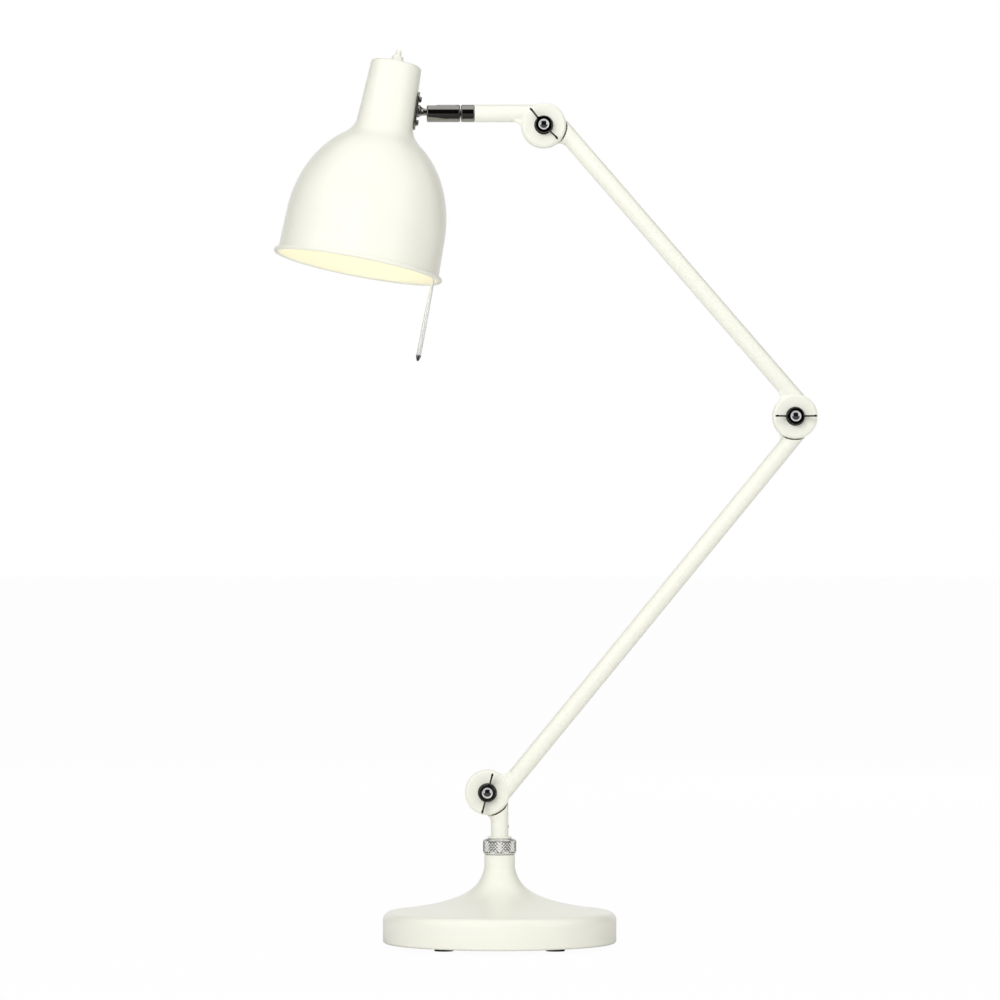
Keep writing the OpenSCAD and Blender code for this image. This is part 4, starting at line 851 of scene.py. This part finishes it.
neck_wall = neck_at(swivel_drop)
at_shade = (at_stud @ Matrix.Translation((-(stud_len + plate_t + seat) * mm, 0, 0))
            @ Matrix.Rotation(taper, 4, "Y") @ Matrix.Translation((-neck_wall * mm, 0, swivel_drop * mm)))
slope = (bowl_r / bowl_depth) ** 2 * (bowl_t - sweep_end) / bowl_at(sweep_end)
mid_t = ((bowl_at(sweep_end) - slope * sweep_end - shade_top_r + top_round * math.tan(taper))
         / (math.tan(taper) - slope))
sweep_from = Vector((neck_at(neck_len), neck_len))
sweep_mid = Vector((neck_at(mid_t), mid_t))
sweep_to = Vector((bowl_at(sweep_end), sweep_end))
side = arc((shade_top_r - top_round, top_round), top_round, -90, -math.degrees(taper), 10)
side += [tuple(sweep_from * (1 - s) ** 2 + sweep_mid * 2 * s * (1 - s) + sweep_to * s * s)
         for s in [i / 24 for i in range(25)]]
start = math.acos((bowl_t - sweep_end) / bowl_depth)
for a in [start + (math.pi / 2 - start) * i / 48 for i in range(1, 49)]:
    side.append((bowl_r * math.sin(a), bowl_t - bowl_depth * math.cos(a)))
side.append((bowl_r + spread_r, shade_h - 2.6 * bead_r))
roll = arc((bowl_r + spread_r + bead_out, shade_h), bead_r, -118, 178, 24)
shade_profile = [(top_hole_r, 0.0)] + side + roll + beside(side, -sheet)[::-1] + [(top_hole_r, sheet)]
shade_outline = [(r, -t) for r, t in shade_profile]
shade = turned("shade_spun", shade_outline, at_shade, loop=True, around=256, crease=60)
dressed(shade, cream_enamel, "shade_head", "cream_paint", "shade")

white_enamel = painted("white_enamel", (0.93, 0.925, 0.83, 1), (0.91, 0.905, 0.81, 1), 0.22, 0.08)
shade.data.materials.append(white_enamel)
to_shade = at_shade.inverted()
hole_edge_r, enamel_end = 3.6, -164
for face in shade.data.polygons:
    middle = to_shade @ face.center
    across = Vector((middle.x, middle.y, 0))
    faces_in = (to_shade.to_3x3() @ face.normal).dot(across) < 0
    if faces_in and across.length > hole_edge_r * mm and middle.z > enamel_end * mm:
        face.material_index = 1

# ---------------------------------------------------------------------------
# Lampholder and lamp. A black phenolic holder hangs in the neck on a steel
# bracket; the bulb has a brass cap, a pearl envelope and glowing rods inside.

coloured(black_phenolic, "lampholder")
brass = metal("brass", (0.80, 0.62, 0.27, 1), (0.70, 0.52, 0.20, 1), 0.22, 0.1, 0.1)
coloured(brass, "holder_contacts", "bulb_cap")

pearl, glass, where = new_look("pearl_glass")
frost = glass.noise(where, 900.0, 2.0)
haze = glass.noise(where, 30.0, 2.0)
relief = glass.node("ShaderNodeBump", {}, {"Strength": 0.1, "Distance": 0.0001, "Height": frost})
glass.surface({"Base Color": glass.mix(haze, (1.0, 0.98, 0.92, 1), (0.97, 0.94, 0.86, 1)),
               "Roughness": 0.3 + frost * 0.1, "Metallic": 0.0, "Emission Strength": 2.2, "Normal": relief,
               "Emission Color": glass.mix(haze, (1.0, 0.93, 0.66, 1), (1.0, 0.90, 0.60, 1))})
coloured(pearl, "bulb_glass", "bulb_filaments")

# ---------------------------------------------------------------------------
# Push switch. Its black body hangs under the shade's top, a cream tapered
# cover is screwed over it, and the cream button stands out of the cover.

coloured(black_phenolic, "switch_body")
cream_plastic = moulded("cream_plastic", (0.90, 0.885, 0.81, 1), (0.87, 0.855, 0.78, 1), 0.26, 0.04, 0.4)
cover_bore, cover_thread_r, cover_floor, cover_h = 2.46, 3.15, 3.05, 6.0
cover_outline = softened([
    (cover_bore, cover_floor), (cover_thread_r, cover_floor), (cover_thread_r, 0.02), (5.7, 0.02),
    (5.6, 1.2), (4.4, 5.2), (4.1, cover_h), (cover_bore, cover_h)], 0.5, loop=True)
cover = turned("switch_cover", cover_outline, at_shade, loop=True, around=64)
dressed(cover, cream_plastic, "shade_head", "cream_plastic", "switch_bezel")
button_r, button_foot, button_top = 2.4, -5.4, 10.4
button_outline = softened([(0, button_foot), (button_r, button_foot), (button_r, button_top - 0.4),
                           (button_r - 0.4, button_top - 0.05), (0, button_top)], 0.7)
button = turned("switch_push_button", button_outline, at_shade, around=48)
dressed(button, cream_plastic, "button", "cream_plastic", "switch_button")

# ---------------------------------------------------------------------------
# Handle. A slim rod bent along the inside of the skirt, held by a
# spot-welded saddle, with a turned steel bullet tip to push the shade by. The
# rod is drawn as pale, partly matt metal: a painted bright reflection.

rod_at, rod_low, rod_high, rod_r, tip_end = 61.2, -233.0, -152.0, 1.35, 5.0
at_rod = at_shade @ Matrix.Translation((rod_at * mm, 0, 0))
rod_outline = softened([(0, rod_low + tip_end), (1.95, rod_low + tip_end), (1.9, -205.0), (1.55, -180.0),
                        (rod_r, -165.0), (rod_r, rod_high), (0, rod_high)], 0.4)
rod = turned("handle_rod_drawn", rod_outline, at_rod, around=48)
bend_steps, bend_around, rod_turn = 24, 24, math.radians(30)
bend_verts, bend_faces = [], []
for a in [rod_turn * i / bend_steps for i in range(bend_steps + 1)]:
    for b in [2 * math.pi * k / bend_around for k in range(bend_around)]:
        r, z = rod_at + rod_r * math.cos(b), rod_high + rod_r * math.sin(b)
        bend_verts.append((r * math.cos(a) * mm, r * math.sin(a) * mm, z * mm))
for ring in range(0, bend_around * bend_steps, bend_around):
    for k in range(bend_around):
        n = (k + 1) % bend_around
        bend_faces.append([ring + k, ring + n, ring + bend_around + n, ring + bend_around + k])
last_ring = bend_around * bend_steps
bend_faces += [list(range(bend_around)), list(range(last_ring, last_ring + bend_around))]
bend = closed_mesh("bend", bend_verts, bend_faces, at_shade)
cut_away(rod, bend, "UNION")
creased(rod.data, 40)
dressed(rod, pale_metal_painted_glint, "shade_head", "clear_rod", "handle_rod")
bullet_r, bullet_base = 2.05, rod_low + tip_end - 0.05
bullet_outline = softened([(0, rod_low), (0.9, rod_low + 0.3), (bullet_r, rod_low + 3.6),
                           (bullet_r, bullet_base), (0, bullet_base)], 0.6)
tip = turned("handle_tip_turned", bullet_outline, at_rod, around=48)
dressed(tip, turned_steel, "shade_head", "blackened", "handle_tip")
coloured(chrome, "handle_clip")
